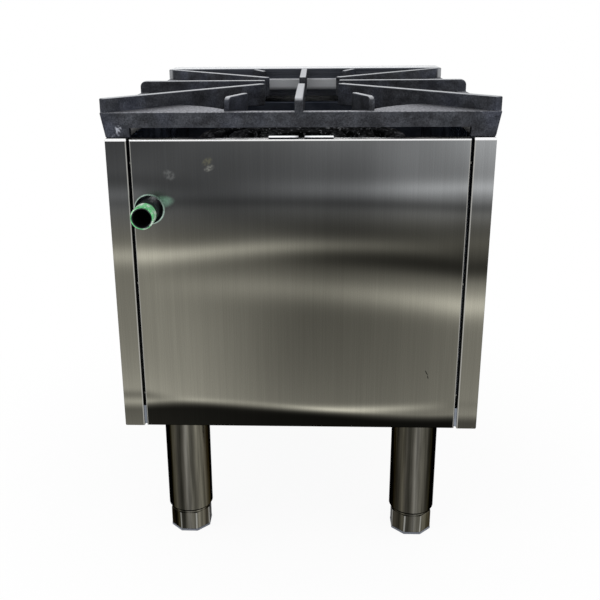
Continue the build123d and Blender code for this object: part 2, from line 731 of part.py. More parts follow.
# ---------------------------------------------------------------- grate
def grate_frame():
    """Four rails standing on four corner feet, with drafted outer faces."""
    half_x = GRATE_WIDTH / 2
    half_y = GRATE_DEPTH / 2
    top = Pos(0, GRATE_Y, TOP + GRATE_RAIL_TOP) * RectangleRounded(
        half_x * 2, half_y * 2, GRATE_CORNER_RADIUS
    )
    foot_outline = Pos(0, GRATE_Y, TOP) * RectangleRounded(
        (half_x - GRATE_DRAFT) * 2, (half_y - GRATE_DRAFT) * 2, GRATE_CORNER_RADIUS
    )
    frame = loft([foot_outline, top])
    frame = chamfer(frame.faces().sort_by(Axis.Z)[0].edges(), GRATE_FOOT_CHAMFER)
    inner_x = half_x - GRATE_RAIL_WIDTH
    inner_y = half_y - GRATE_RAIL_WIDTH
    high = TOP + GRATE_RAIL_TOP + PART_GAP
    frame -= block((-inner_x, inner_x), (GRATE_Y - inner_y, GRATE_Y + inner_y), (TOP - PART_GAP, high))
    gap_x = half_x - GRATE_FOOT_WIDTH
    gap_y = half_y - GRATE_FOOT_WIDTH
    low = TOP - PART_GAP
    rail_low = TOP + GRATE_RAIL_BOTTOM
    frame -= block((-gap_x, gap_x), (GRATE_Y - half_y, GRATE_Y + half_y), (low, rail_low))
    frame -= block((-half_x, half_x), (GRATE_Y - gap_y, GRATE_Y + gap_y), (low, rail_low))
    return fillet(frame.faces().sort_by(Axis.Z)[-1].edges(), GRATE_EDGE_RADIUS)


def finger(start, end, thickness, outer_radius, inner_depth):
    """Upright finger from a rail to its inner tip, both given as (x, y) from the grate's centre."""
    length = math.dist(start, end)
    low = GRATE_RAIL_TOP
    haunch = low - FINGER_RAIL_DEPTH / 2
    corners = [
        (0, low - FINGER_SEAT),
        (0, GRATE_HEIGHT),
        (length, GRATE_HEIGHT),
        (length, GRATE_HEIGHT - inner_depth),
        (length * FINGER_HAUNCH_SHARE, haunch),
        (GRATE_RAIL_WIDTH / 2, haunch),
    ]
    section = rounded_outline(corners, [0, outer_radius, EDGE_RADIUS, EDGE_RADIUS, 0, 0])
    ahead = Vector(end[0] - start[0], end[1] - start[1], 0)
    side = ahead.cross(Vector(0, 0, 1)).normalized()
    place = Plane(origin=(start[0], GRATE_Y + start[1], TOP), x_dir=ahead, z_dir=side)
    blade = extrude(place * section, thickness / 2, both=True)
    sides = blade.faces().sort_by(SortBy.AREA)[-2:]
    return fillet(sides[0].edges() + sides[1].edges(), GRATE_EDGE_RADIUS)


def corner_web():
    """Flat web in one corner, between the corner finger and the rails, with hollowed free edges."""
    half_x = GRATE_WIDTH / 2 - GRATE_RAIL_WIDTH / 2
    half_y = GRATE_DEPTH / 2 - GRATE_RAIL_WIDTH / 2
    reach = math.dist((half_x, half_y), (OPENING_HALF_WIDTH, OPENING_HALF_DEPTH))
    share = WEB_FINGER_LENGTH / reach
    on_finger = (
        half_x - (half_x - OPENING_HALF_WIDTH) * share,
        half_y - (half_y - OPENING_HALF_DEPTH) * share,
    )
    on_long = (half_x - WEB_RAIL_LENGTH, half_y)
    on_side = (half_x, half_y - WEB_RAIL_LENGTH)
    edges = [Line((half_x, half_y), on_long)]
    edges.append(SagittaArc(on_long, on_finger, -WEB_SAG))
    edges.append(SagittaArc(on_finger, on_side, -WEB_SAG))
    edges.append(Line(on_side, (half_x, half_y)))
    face = Pos(0, GRATE_Y, TOP + GRATE_RAIL_TOP - WEB_THICKNESS) * make_face(edges)
    return extrude(face, WEB_THICKNESS, dir=(0, 0, 1))


def four_ways(make):
    """The four copies of a piece of the grate, mirrored about its two middle planes."""
    rear_right = make()
    about = Plane(origin=(0, GRATE_Y, 0), z_dir=(0, 1, 0))
    front_right = mirror(rear_right, about=about)
    return [rear_right, opposite(rear_right), front_right, opposite(front_right)]


def corner_finger():
    """Finger from the rear right corner towards the middle."""
    start = (GRATE_WIDTH / 2 - CORNER_FINGER_INSET, GRATE_DEPTH / 2 - CORNER_FINGER_INSET)
    end = (OPENING_HALF_WIDTH, OPENING_HALF_DEPTH)
    return finger(start, end, FINGER_THICKNESS, EDGE_RADIUS, FINGER_DEPTH)


def stub_finger():
    """Short finger on the rear rail, to the right of the middle."""
    half_y = GRATE_DEPTH / 2
    start = (STUB_BASE_OFFSET, half_y - STUB_BASE_DEPTH)
    end = (STUB_TIP_OFFSET, half_y - STUB_TIP_DEPTH)
    return finger(start, end, STUB_THICKNESS, FINGER_OUTER_RADIUS, STUB_DEPTH)


def grate():
    """Heavy cast grate, lifted off for cleaning."""
    half_x = GRATE_WIDTH / 2
    half_y = GRATE_DEPTH / 2
    casting = grate_frame()
    for sign in (-1, 1):
        across = (sign * (half_x - FINGER_SETBACK), 0), (sign * OPENING_HALF_WIDTH, 0)
        along = (0, sign * (half_y - FINGER_SETBACK)), (0, sign * OPENING_HALF_DEPTH)
        for start, end in (across, along):
            casting += finger(start, end, FINGER_THICKNESS, FINGER_OUTER_RADIUS, FINGER_DEPTH)
    for make in (corner_finger, corner_web, stub_finger):
        casting += four_ways(make)
    return casting


# ---------------------------------------------------------------- burner
def ring_profile(radius, inset):
    """Section of a burner ring, or of its gas channel if an inset is given."""
    half = RING_WIDTH / 2 - inset
    low = RING_BOTTOM + inset
    high = RING_TOP - inset
    cut = RING_CHAMFER if inset == 0 else RING_CHAMFER / 2
    return [
        (radius - half, low),
        (radius + half, low),
        (radius + half, high - cut),
        (radius + half - cut, high),
        (radius - half + cut, high),
        (radius - half, high - cut),
    ]


def ring(radius, inset=0.0):
    """Burner ring, or its gas channel."""
    return revolved(ring_profile(radius, inset), (0, BURNER_Y, 0), (0, 0, 1))


def ports(radius):
    """Flame ports in a ring's top, evenly spaced."""
    count = round(2 * math.pi * radius / PORT_PITCH)
    holes = []
    for index in range(count):
        angle = 2 * math.pi * index / count
        x = radius * math.cos(angle)
        y = BURNER_Y + radius * math.sin(angle)
        holes.append(rod((x, y, RING_TOP - RING_WALL * 2), (x, y, RING_TOP + PART_GAP), PORT_DIAMETER / 2))
    return holes


def mixer(x, end):
    """Outside of a mixer tube from its bell mouth to its closed end."""
    bell = MIXER_BELL_DIAMETER / 2
    tube = MIXER_TUBE_DIAMETER / 2
    taper = MIXER_BELL_LENGTH + MIXER_TAPER
    length = end - MIXER_MOUTH
    profile = [(0, 0), (bell, 0), (bell, MIXER_BELL_LENGTH), (tube, taper), (tube, length), (0, length)]
    return revolved(profile, (x, MIXER_MOUTH, MIXER_Z), (0, 1, 0))


def mixer_bore(x, end):
    """Inside of a mixer tube: mouth, throat and tube."""
    mouth = MIXER_BELL_DIAMETER / 2 - MIXER_WALL
    throat = MIXER_THROAT_DIAMETER / 2
    tube = MIXER_TUBE_DIAMETER / 2 - MIXER_WALL
    taper = MIXER_BELL_LENGTH + MIXER_TAPER
    straight = WINDOW_START * 2 + WINDOW_LENGTH
    length = end - MIXER_MOUTH - MIXER_WALL
    profile = [(0, 0), (mouth, 0), (mouth, straight), (throat, taper)]
    profile += [(tube, taper * 2), (tube, length), (0, length)]
    return revolved(profile, (x, MIXER_MOUTH, MIXER_Z), (0, 1, 0))


def air_windows(x, start, length, reach):
    """Wedges that open the air windows around a mixer's mouth."""
    wedges = []
    for index in range(WINDOW_COUNT):
        middle = QUARTER_TURN + FULL_TURN * index / WINDOW_COUNT
        corners = [(0, 0)]
        for angle_from_middle in (-WINDOW_ANGLE / 2, WINDOW_ANGLE / 2):
            angle = math.radians(middle + angle_from_middle)
            corners.append((reach * math.cos(angle), reach * math.sin(angle)))
        face = make_face(Polyline(*corners, close=True))
        wedges.append(along_y(Pos(x, MIXER_Z) * face, start, start + length))
    return wedges


def riser(x, y, radius):
    """Upright passage from a mixer tube into a ring."""
    return rod((x, y, MIXER_Z), (x, y, RING_BOTTOM + RING_WALL), radius)


def tube_pad(x, y):
    """Flat pad under a mixer tube, where a support bar carries it."""
    half_x = PAD_WIDTH / 2
    half_y = PAD_LENGTH / 2
    return block((x - half_x, x + half_x), (y - half_y, y + half_y), (BAR_TOP, MIXER_Z - PAD_HEIGHT))


def ring_crossing(radius):
    """Depth at which a ring's middle line passes over the left mixer, on the front side."""
    return BURNER_Y - math.sqrt(radius**2 - MIXER_X**2)


def mixer_voids(x, end, rings, risers):
    """Everything hollow in a burner casting."""
    bore = RISER_DIAMETER / 2 - MIXER_WALL
    voids = [mixer_bore(x, end)]
    voids += [ring(radius, RING_WALL) for radius in rings]
    voids += [riser(x, y, bore) for y in risers]
    voids += air_windows(x, MIXER_MOUTH + WINDOW_START, WINDOW_LENGTH, MIXER_BELL_DIAMETER)
    for radius in rings:
        voids += ports(radius)
    return voids


def outer_burner():
    """Outer and middle rings with their mixer tube on the left, one casting."""
    risers = (ring_crossing(OUTER_RING_RADIUS), ring_crossing(MIDDLE_RING_RADIUS))
    end = risers[1] + MIXER_END_LENGTH
    casting = mixer(-MIXER_X, end)
    casting += [ring(OUTER_RING_RADIUS), ring(MIDDLE_RING_RADIUS)]
    casting += [riser(-MIXER_X, y, RISER_DIAMETER / 2) for y in risers]
    casting += tube_pad(-MIXER_X, FRONT_BAR_Y)
    middle_z = (RING_BOTTOM + RING_TOP) / 2
    for angle in (0, 90, 180):
        arm = block(
            (MIDDLE_RING_RADIUS, OUTER_RING_RADIUS),
            (-ARM_WIDTH / 2, ARM_WIDTH / 2),
            (middle_z - ARM_HEIGHT / 2, middle_z + ARM_HEIGHT / 2),
        )
        casting += Pos(0, BURNER_Y, 0) * (Rot(0, 0, angle) * arm)
    return casting - mixer_voids(-MIXER_X, end, (OUTER_RING_RADIUS, MIDDLE_RING_RADIUS), risers)


def inner_burner():
    """Inner ring with its mixer tube on the right, one casting."""
    end = BURNER_Y + MIXER_END_LENGTH
    casting = mixer(MIXER_X, end)
    casting += ring(INNER_RING_RADIUS)
    casting += riser(MIXER_X, BURNER_Y, RISER_DIAMETER / 2)
    casting += [tube_pad(MIXER_X, FRONT_BAR_Y), tube_pad(MIXER_X, BURNER_Y)]
    return casting - mixer_voids(MIXER_X, end, (INNER_RING_RADIUS,), (BURNER_Y,))


def air_shutter(x):
    """Slotted cap that turns on a mixer's mouth to set the air."""
    inner = MIXER_BELL_DIAMETER / 2 + TOUCH_GAP
    outer = inner + SHUTTER_WALL
    face = -SHUTTER_TRAVEL_GAP - SHUTTER_WALL
    hole = SPUD_FLATS / 2 + HOLE_GAP
    profile = [
        (hole, face),
        (outer, face),
        (outer, SHUTTER_LENGTH),
        (inner, SHUTTER_LENGTH),
        (inner, -SHUTTER_TRAVEL_GAP),
        (hole, -SHUTTER_TRAVEL_GAP),
    ]
    cap = revolved(profile, (x, MIXER_MOUTH, MIXER_Z), (0, 1, 0))
    return cap - air_windows(x, MIXER_MOUTH + WINDOW_START, WINDOW_LENGTH, MIXER_BELL_DIAMETER)


# ---------------------------------------------------------------- burner supports
def support_bar(y):
    """Folded bar between the liners, with an end tab on each liner."""
    front = y - BAR_WIDTH / 2
    back = y + BAR_WIDTH / 2
    path = [(front, BAR_TOP - BAR_LEG), (front, BAR_TOP), (back, BAR_TOP)]
    bar = along_x(folded(path, RAIL_SHEET), -LINER_X, LINER_X)
    tab_x = (LINER_X - RAIL_SHEET, LINER_X)
    tab = block(tab_x, (front, back), (BAR_TOP - RAIL_SHEET / 2, BAR_TOP + BAR_END_TAB))
    return bar + [tab, opposite(tab)]


def rear_burner_bracket():
    """Strap that hangs on the rear panel's top edge by two tabs and carries the rear of the outer ring."""
    tab_bottom = TOP - REAR_PANEL_DROP
    back = REAR - TAB_SETBACK
    bend = back - TAB_DEPTH
    ring_back = BURNER_Y + OUTER_RING_RADIUS + RING_WIDTH / 2
    path = [
        (back, tab_bottom + BRACKET_SHEET),
        (bend, tab_bottom + BRACKET_SHEET),
        (bend, RING_BOTTOM),
        (ring_back - TAB_UNDER_RING, RING_BOTTOM),
    ]
    strap = along_x(folded(path[::-1], BRACKET_SHEET), -TAB_LEFT, TAB_RIGHT)
    slot_x = (TAB_SLOT_CENTRE - TAB_SLOT_WIDTH / 2, TAB_SLOT_CENTRE + TAB_SLOT_WIDTH / 2)
    slot_y = (bend + PART_GAP, back + PART_GAP)
    slot_z = (tab_bottom - PART_GAP, tab_bottom + BRACKET_SHEET + PART_GAP)
    return strap - block(slot_x, slot_y, slot_z)


# ---------------------------------------------------------------- gas train
def supply_pipe():
    """Pipe from the rear inlet to the elbow behind the controls, turned down under the thread tape."""
    start = MANIFOLD_Y + ELBOW_ARM - ELBOW_SOCKET
    tube = rod((PIPE_X, start, PIPE_Z), (PIPE_X, PIPE_END, PIPE_Z), PIPE_RADIUS)
    tube = chamfer(tube.faces().sort_by(Axis.Y)[-1].edges(), PIPE_MOUTH_CHAMFER)
    tape_end = PIPE_END - TAPE_START
    groove = (PIPE_X, tape_end - TAPE_LENGTH, PIPE_Z), (PIPE_X, tape_end, PIPE_Z)
    tube -= pipe(*groove, PIPE_RADIUS + PART_GAP, TAPE_RADIUS - TAPE_THICKNESS)
    bore = PIPE_BORE_DIAMETER / 2
    return tube - rod((PIPE_X, start - PART_GAP, PIPE_Z), (PIPE_X, PIPE_END + PART_GAP, PIPE_Z), bore)


def thread_tape():
    """Tape wound on the pipe's thread, a little proud of the pipe."""
    end = PIPE_END - TAPE_START
    start = (PIPE_X, end - TAPE_LENGTH, PIPE_Z)
    return pipe(start, (PIPE_X, end, PIPE_Z), TAPE_RADIUS, TAPE_RADIUS - TAPE_THICKNESS)


def elbow():
    """Elbow between the supply pipe and the manifold."""
    centre = (PIPE_X, MANIFOLD_Y, PIPE_Z)
    body = Pos(*centre) * Sphere(ELBOW_BODY_DIAMETER / 2)
    voids = []
    for way in ((0, 1, 0), (-1, 0, 0)):
        arm = [centre[i] + way[i] * ELBOW_ARM for i in range(3)]
        collar = [centre[i] + way[i] * (ELBOW_ARM - ELBOW_COLLAR_LENGTH) for i in range(3)]
        socket = [centre[i] + way[i] * (ELBOW_ARM - ELBOW_SOCKET) for i in range(3)]
        past = [centre[i] + way[i] * (ELBOW_ARM + PART_GAP) for i in range(3)]
        body += rod(centre, arm, ELBOW_BODY_DIAMETER / 2)
        body += rod(collar, arm, ELBOW_COLLAR_DIAMETER / 2)
        voids += [rod(centre, socket, PIPE_BORE_DIAMETER / 2), rod(socket, past, PIPE_RADIUS + TOUCH_GAP)]
    return body - voids


def manifold_left_end():
    """X of the manifold's capped end."""
    return -MIXER_X - MANIFOLD_OVERHANG


def manifold_pipe():
    """Manifold with a boss under it for each valve and a hole on top for the pilot valve."""
    right_end = PIPE_X - ELBOW_ARM + ELBOW_SOCKET
    left = (manifold_left_end(), MANIFOLD_Y, PIPE_Z)
    right = (right_end, MANIFOLD_Y, PIPE_Z)
    body = rod(left, right, PIPE_RADIUS)
    holes = [rod(left, right, PIPE_BORE_DIAMETER / 2)]
    for x in (-MIXER_X, MIXER_X):
        centre = (x, MANIFOLD_Y, PIPE_Z)
        low = (x, MANIFOLD_Y, BOSS_BOTTOM)
        body += rod(low, centre, BOSS_DIAMETER / 2)
        holes.append(rod((x, MANIFOLD_Y, BOSS_BOTTOM - PART_GAP), centre, NIPPLE_DIAMETER / 2 + TOUCH_GAP))
    pilot_hole = PILOT_NIPPLE_DIAMETER / 2 + TOUCH_GAP
    holes.append(rod((0, MANIFOLD_Y, PIPE_Z), (0, MANIFOLD_Y, PIPE_Z + PIPE_DIAMETER), pilot_hole))
    return body - holes


def manifold_cap():
    """Cap on the manifold's left end."""
    x = manifold_left_end()
    mouth = (x + CAP_LENGTH, MANIFOLD_Y, PIPE_Z)
    body = rod((x - MIXER_WALL, MANIFOLD_Y, PIPE_Z), mouth, CAP_DIAMETER / 2)
    end = (x + CAP_LENGTH + PART_GAP, MANIFOLD_Y, PIPE_Z)
    return body - rod((x, MANIFOLD_Y, PIPE_Z), end, PIPE_RADIUS + TOUCH_GAP)


def manifold_hangers():
    """Two hangers that hold the manifold to the heat shield."""
    hangers = []
    face = SHIELD_Y - LINER_SHEET
    radius = PIPE_RADIUS + TOUCH_GAP
    for x in (-MIXER_X + HANGER_OFFSET, MIXER_X + HANGER_OFFSET):
        end = x + HANGER_THICKNESS
        plate = rod((x, MANIFOLD_Y, PIPE_Z), (end, MANIFOLD_Y, PIPE_Z), radius + HANGER_RING)
        plate += block((x, end), (MANIFOLD_Y, face), (PIPE_Z - HANGER_RING, PIPE_Z + HANGER_RING))
        foot_y = (face - HANGER_THICKNESS, face)
        plate += block((x, x + HANGER_FOOT), foot_y, (PIPE_Z - HANGER_RING, PIPE_Z + HANGER_RING))
        past = (end + HANGER_FOOT - HANGER_THICKNESS, MANIFOLD_Y, PIPE_Z)
        hangers.append(plate - rod((x - PART_GAP, MANIFOLD_Y, PIPE_Z), past, radius))
    return hangers


def gas_valve(x):
    """Valve body with its inlet nipple, the neck that guides the stem, and the outlet hood."""
    front = (x, VALVE_FRONT, VALVE_Z)
    back = (x, VALVE_BACK, VALVE_Z)
    neck_end = (x, VALVE_FRONT - VALVE_NECK_LENGTH, VALVE_Z)
    body = rod(front, back, VALVE_BODY_DIAMETER / 2)
    body += rod(neck_end, front, VALVE_NECK_DIAMETER / 2)
    body += rod(back, (x, HOOD_END, VALVE_Z), HOOD_DIAMETER / 2)
    body += rod((x, MANIFOLD_Y, VALVE_Z), (x, MANIFOLD_Y, BOSS_BOTTOM), BOSS_DIAMETER / 2)
    nipple_top = (x, MANIFOLD_Y, PIPE_Z - PIPE_BORE_DIAMETER / 2)
    body += rod((x, MANIFOLD_Y, VALVE_Z), nipple_top, NIPPLE_DIAMETER / 2)
    stem_end = VALVE_FRONT - VALVE_NECK_LENGTH + STEM_IN_VALVE
    socket = (x, VALVE_FRONT - VALVE_NECK_LENGTH - PART_GAP, VALVE_Z)
    body -= rod(socket, (x, stem_end + PART_GAP, VALVE_Z), STEM_DIAMETER / 2 + TOUCH_GAP)
    outlet = (x, HOOD_END + PART_GAP, VALVE_Z)
    return body - rod((x, VALVE_BACK, VALVE_Z), outlet, SPUD_FLATS / 2 - SLIDE_GAP)


def orifice_spud(x):
    """Brass jet on the end of a valve's hood."""
    thread_start = (x, VALVE_BACK + HOOD_LENGTH / 2, VALVE_Z)
    thread = rod(thread_start, (x, HOOD_END, VALVE_Z), SPUD_FLATS / 2 - SLIDE_GAP - TOUCH_GAP)
    head = hexagon((x, HOOD_END, VALVE_Z), (x, SPUD_END, VALVE_Z), SPUD_FLATS)
    hole = rod((x, VALVE_BACK, VALVE_Z), (x, SPUD_END + PART_GAP, VALVE_Z), SPUD_HOLE_DIAMETER / 2)
    return thread + head - hole


# ---------------------------------------------------------------- pilot
def pilot_outlet():
    """Where the pilot tube leaves its valve."""
    return (0, MANIFOLD_Y + PILOT_VALVE_DIAMETER / 2, PIPE_Z + PIPE_RADIUS + PILOT_VALVE_HEIGHT / 2)


def pilot_strip_y():
    """Front face of the pilot's strip, on the front support bar."""
    return FRONT_BAR_Y - BAR_WIDTH / 2 - BRACKET_SHEET


def pilot_tip_y():
    """Depth of the pilot burner's axis, just ahead of the outer ring."""
    return BURNER_Y - OUTER_RING_RADIUS - RING_WIDTH / 2 - PILOT_RING_GAP - PILOT_TIP_DIAMETER / 2


def pilot_tip_bottom():
    """Height of the pilot burner's lower end."""
    return RING_TOP - PILOT_TIP_HEIGHT


def pilot_valve():
    """Small valve on top of the manifold, between the burner valves."""
    seat = PIPE_Z + PIPE_RADIUS
    low = (0, MANIFOLD_Y, PIPE_Z + PIPE_BORE_DIAMETER / 2)
    high = (0, MANIFOLD_Y, seat + PILOT_VALVE_HEIGHT)
    body = rod((0, MANIFOLD_Y, seat), high, PILOT_VALVE_DIAMETER / 2)
    return body + rod(low, high, PILOT_NIPPLE_DIAMETER / 2)


def pilot_tube():
    """Bent tube from the pilot valve, through the heat shield, to the foot of the pilot burner."""
    start = pilot_outlet()
    tip = pilot_tip_y()
    end_z = pilot_tip_bottom()
    path = FilletPolyline(
        start,
        (0, tip, start[2]),
        (0, tip, end_z),
        radius=min(PILOT_TUBE_BEND, end_z - start[2] - PART_GAP),
    )
    section = Plane(origin=start, z_dir=(0, 1, 0)) * Circle(PILOT_TUBE_DIAMETER / 2)
    return sweep(section, path=path)


def pilot_burner():
    """Pilot burner tip on a strip that stands on the front support bar."""
    front = pilot_strip_y()
    half = PILOT_STRIP_WIDTH / 2
    tip_y = pilot_tip_y()
    low = pilot_tip_bottom()
    strip = block((-half, half), (front, front + BRACKET_SHEET), (BAR_TOP - BAR_LEG, low + BRACKET_SHEET))
    window = PILOT_TUBE_DIAMETER
    window_z = (pilot_outlet()[2] - window, pilot_outlet()[2] + window)
    strip -= block((-window, window), (front - PART_GAP, front + HOLE_GAP * 2), window_z)
    shelf = block((-half, half), (front, tip_y + PILOT_TIP_DIAMETER / 2), (low, low + BRACKET_SHEET))
    tip = rod((0, tip_y, low), (0, tip_y, RING_TOP), PILOT_TIP_DIAMETER / 2)
    bore_low = (0, tip_y, low + BRACKET_SHEET * 2)
    bore = rod(bore_low, (0, tip_y, RING_TOP + PART_GAP), PILOT_BORE_DIAMETER / 2)
    return strip + shelf + tip - bore


# ---------------------------------------------------------------- knobs
def valve_stem(x):
    """Stem with a flat, from the valve to the knob."""
    inner = (x, VALVE_FRONT - VALVE_NECK_LENGTH + STEM_IN_VALVE, VALVE_Z)
    outer_y = KNOB_BACK - STEM_IN_KNOB
    stem = rod((x, outer_y, VALVE_Z), inner, STEM_DIAMETER / 2)
    flat_z = VALVE_Z + STEM_DIAMETER / 4
    half = STEM_DIAMETER / 2
    return stem - block((x - half, x + half), (outer_y, KNOB_BACK), (flat_z, VALVE_Z + half))


def knob(x):
    """Round knob with a raised grip bar across it, pointing up when the gas is off."""
    core_front = KNOB_BACK - STEM_IN_KNOB - MIXER_WALL
    skirt_front = KNOB_BACK - KNOB_SKIRT_HEIGHT
    skirt = rod((x, KNOB_BACK, VALVE_Z), (x, skirt_front, VALVE_Z), KNOB_SKIRT_DIAMETER / 2)
    skirt = chamfer(skirt.faces().sort_by(Axis.Y)[0].edges(), KNOB_EDGE)
    core = rod((x, skirt_front, VALVE_Z), (x, core_front, VALVE_Z), KNOB_CORE_DIAMETER / 2)
    half_width = KNOB_GRIP_WIDTH / 2
    half_length = KNOB_GRIP_LENGTH / 2
    grip_z = (VALVE_Z - half_length, VALVE_Z + half_length)
    grip = block((x - half_width, x + half_width), (KNOB_FRONT, skirt_front), grip_z)
    grip = fillet(grip.faces().sort_by(Axis.Y)[0].edges(), KNOB_EDGE * 2)
    body = skirt + core + grip
    outer_y = KNOB_BACK - STEM_IN_KNOB
    radius = STEM_DIAMETER / 2
    bore = rod((x, KNOB_BACK, VALVE_Z), (x, outer_y - TOUCH_GAP, VALVE_Z), radius + TOUCH_GAP)
    flat_z = VALVE_Z + STEM_DIAMETER / 4 + TOUCH_GAP
    full = radius + PART_GAP
    bore -= block((x - full, x + full), (outer_y - PART_GAP, KNOB_BACK), (flat_z, VALVE_Z + full))
    return body - bore


def bezel(x):
    """Plain dial plate behind a knob."""
    start = (x, FRONT - BEZEL_THICKNESS, VALVE_Z)
    plate = rod(start, (x, FRONT, VALVE_Z), BEZEL_DIAMETER / 2)
    plate = chamfer(plate.faces().sort_by(Axis.Y)[0].edges(), BEZEL_THICKNESS / 4)
    return plate - rod(start, (x, FRONT, VALVE_Z), STEM_DIAMETER / 2 + HOLE_GAP)


# ---------------------------------------------------------------- the assembly
def pieces():
    """Every node's name and its solids."""
    right_side = side_panel()
    right_upright = upright()
    right_runner = tray_runner()
    right_liner = side_liner()
    nodes = {
        "side_panel_right": [right_side],
        "side_panel_left": [opposite(right_side)],
        "rear_panel": [rear_panel()],
        "rear_upright_right": [right_upright],
        "rear_upright_left": [opposite(right_upright)],
        "rear_panel_screws": rear_screws(),
        "control_panel": [control_panel()],
        "lower_front_panel": [lower_front_panel()],
        "front_panel_screws": front_screws(),
        "landing_ledge": [landing_ledge()],
        "base_rail_rear": [rear_base_rail()],
        "base_rail_front": [front_base_rail()],
        "leg_plate_bolts": leg_bolts(),
        "crumb_tray": [crumb_tray()],
        "crumb_tray_front": [tray_front()],
        "crumb_tray_pull": [tray_pull()],
        "tray_runner_right": [right_runner],
        "tray_runner_left": [opposite(right_runner)],
        "side_liner_right": [right_liner],
        "side_liner_left": [opposite(right_liner)],
        "front_heat_shield": [front_heat_shield()],
        "grate": [grate()],
        "burner_outer": [outer_burner()],
        "burner_inner": [inner_burner()],
        "burner_bar_front": [support_bar(FRONT_BAR_Y)],
        "burner_bar_middle": [support_bar(BURNER_Y)],
        "burner_bracket_rear": [rear_burner_bracket()],
        "supply_pipe": [supply_pipe()],
        "thread_tape": [thread_tape()],
        "pipe_elbow": [elbow()],
        "manifold_pipe": [manifold_pipe()],
        "manifold_cap": [manifold_cap()],
        "manifold_hangers": manifold_hangers(),
        "orifice_spuds": [orifice_spud(-MIXER_X), orifice_spud(MIXER_X)],
        "pilot_valve": [pilot_valve()],
        "pilot_tube": [pilot_tube()],
        "pilot_burner": [pilot_burner()],
        "leg_inserts": [leg_insert(x, y) for x, y in leg_places().values()],
    }
    for name, x in (("outer", -MIXER_X), ("inner", MIXER_X)):
        nodes["gas_valve_" + name] = [gas_valve(x)]
        nodes["valve_stem_" + name] = [valve_stem(x)]
        nodes["knob_" + name] = [knob(x)]
        nodes["knob_bezel_" + name] = [bezel(x)]
        nodes["air_shutter_" + name] = [air_shutter(x)]
    for name, (x, y) in leg_places().items():
        nodes["leg_" + name] = [leg(x, y)]
        nodes["foot_" + name] = [foot(x, y)]
        nodes["foot_pad_" + name] = [foot_pad(x, y)]
    return nodes


def write_pieces():
    """Write one STEP file for each node."""
    os.makedirs("parts", exist_ok=True)
    for name, shapes in pieces().items():
        solids = [solid for shape in shapes for solid in shape.solids()]
        export_step(Compound(children=solids, label=name), os.path.join("parts", name + ".step"))


write_pieces()
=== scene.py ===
"""Looks of a single-burner gas stock pot range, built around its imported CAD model.

Metres, in the frame of the CAD model: +Z is up, the front with the knobs faces -Y, and the back with the
gas inlet faces +Y, towards the camera. Left and right are as seen from the front, so right is +X.
"""

from __future__ import annotations

import json
import logging
import math
from collections.abc import Iterable
from dataclasses import dataclass
from enum import Enum
from functools import cached_property
from typing import Any, NamedTuple

import bmesh
import bpy
from mathutils import Matrix, Vector

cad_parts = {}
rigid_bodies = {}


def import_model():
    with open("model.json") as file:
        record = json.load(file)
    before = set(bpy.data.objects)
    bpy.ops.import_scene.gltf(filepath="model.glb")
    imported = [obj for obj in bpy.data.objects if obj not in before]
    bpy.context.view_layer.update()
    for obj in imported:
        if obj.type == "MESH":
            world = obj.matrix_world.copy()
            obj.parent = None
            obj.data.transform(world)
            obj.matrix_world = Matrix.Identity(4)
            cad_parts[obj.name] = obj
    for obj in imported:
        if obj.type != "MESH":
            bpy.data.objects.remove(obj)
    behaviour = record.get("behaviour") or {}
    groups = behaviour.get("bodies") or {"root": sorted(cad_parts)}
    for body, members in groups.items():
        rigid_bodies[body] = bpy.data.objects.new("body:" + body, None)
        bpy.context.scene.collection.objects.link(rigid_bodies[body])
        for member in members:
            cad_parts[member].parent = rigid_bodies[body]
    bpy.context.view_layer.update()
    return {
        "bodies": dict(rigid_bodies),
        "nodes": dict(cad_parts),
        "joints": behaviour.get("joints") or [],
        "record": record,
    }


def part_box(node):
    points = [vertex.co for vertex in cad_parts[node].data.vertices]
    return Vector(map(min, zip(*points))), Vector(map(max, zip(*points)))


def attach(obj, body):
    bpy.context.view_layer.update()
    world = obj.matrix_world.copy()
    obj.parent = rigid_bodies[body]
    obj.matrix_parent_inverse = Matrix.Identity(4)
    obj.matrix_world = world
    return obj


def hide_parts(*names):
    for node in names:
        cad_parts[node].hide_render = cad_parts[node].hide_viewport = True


LOG = logging.getLogger("stock_pot_range")
MM = 0.001
CHASSIS = "chassis"
LEG_NAMES = ("front_left", "front_right", "rear_left", "rear_right")
BURNER_SIDES = ("outer", "inner")

# A weld's smallest and largest bead, as shares of its size, and the seed of their order.
BEAD_SIZES = (0.85, 1.15)
BEAD_SEED = 7

# What Blender's noise mostly stays within, and what it does with many octaves. How much of a normal lies
# along an axis where a face starts to look that way, and where it fully does. A share of a turn.
NOISE_SPAN = (0.3, 0.7)
FINE_NOISE_SPAN = (0.34, 0.66)
LOOKS_ALONG = (0.5, 0.9)
QUARTER_TURN = 0.25

Span = tuple[float, float]
Triple = tuple[float, float, float]
Colour = tuple[float, float, float, float]


# ------------------------------------------------------------------ small tools
def linear(code: str) -> Colour:
    """Turn an sRGB hex colour into linear values.

    Args:
        code: Six hex digits, such as "808080".

    Returns:
        Red, green, blue and an alpha of 1.
    """
    values = []
    for start in (0, 2, 4):
        value = int(code[start : start + 2], 16) / 255
        values.append(value / 12.92 if value <= 0.04045 else ((value + 0.055) / 1.055) ** 2.4)
    return (values[0], values[1], values[2], 1.0)


def grey(value: float) -> Colour:
    """A linear grey."""
    return (value, value, value, 1.0)


def feed(tree: bpy.types.NodeTree, target: bpy.types.NodeSocket, value: Any) -> None:
    """Link an input from a field or a socket, or set it to a plain value.

    Args:
        tree: The node tree it is in.
        target: The input.
        value: A field, a socket, or a number, colour or other plain value.
    """
    source = value.socket if isinstance(value, Field) else value
    if isinstance(source, bpy.types.NodeSocket):
        tree.links.new(source, target)
    else:
        target.default_value = source


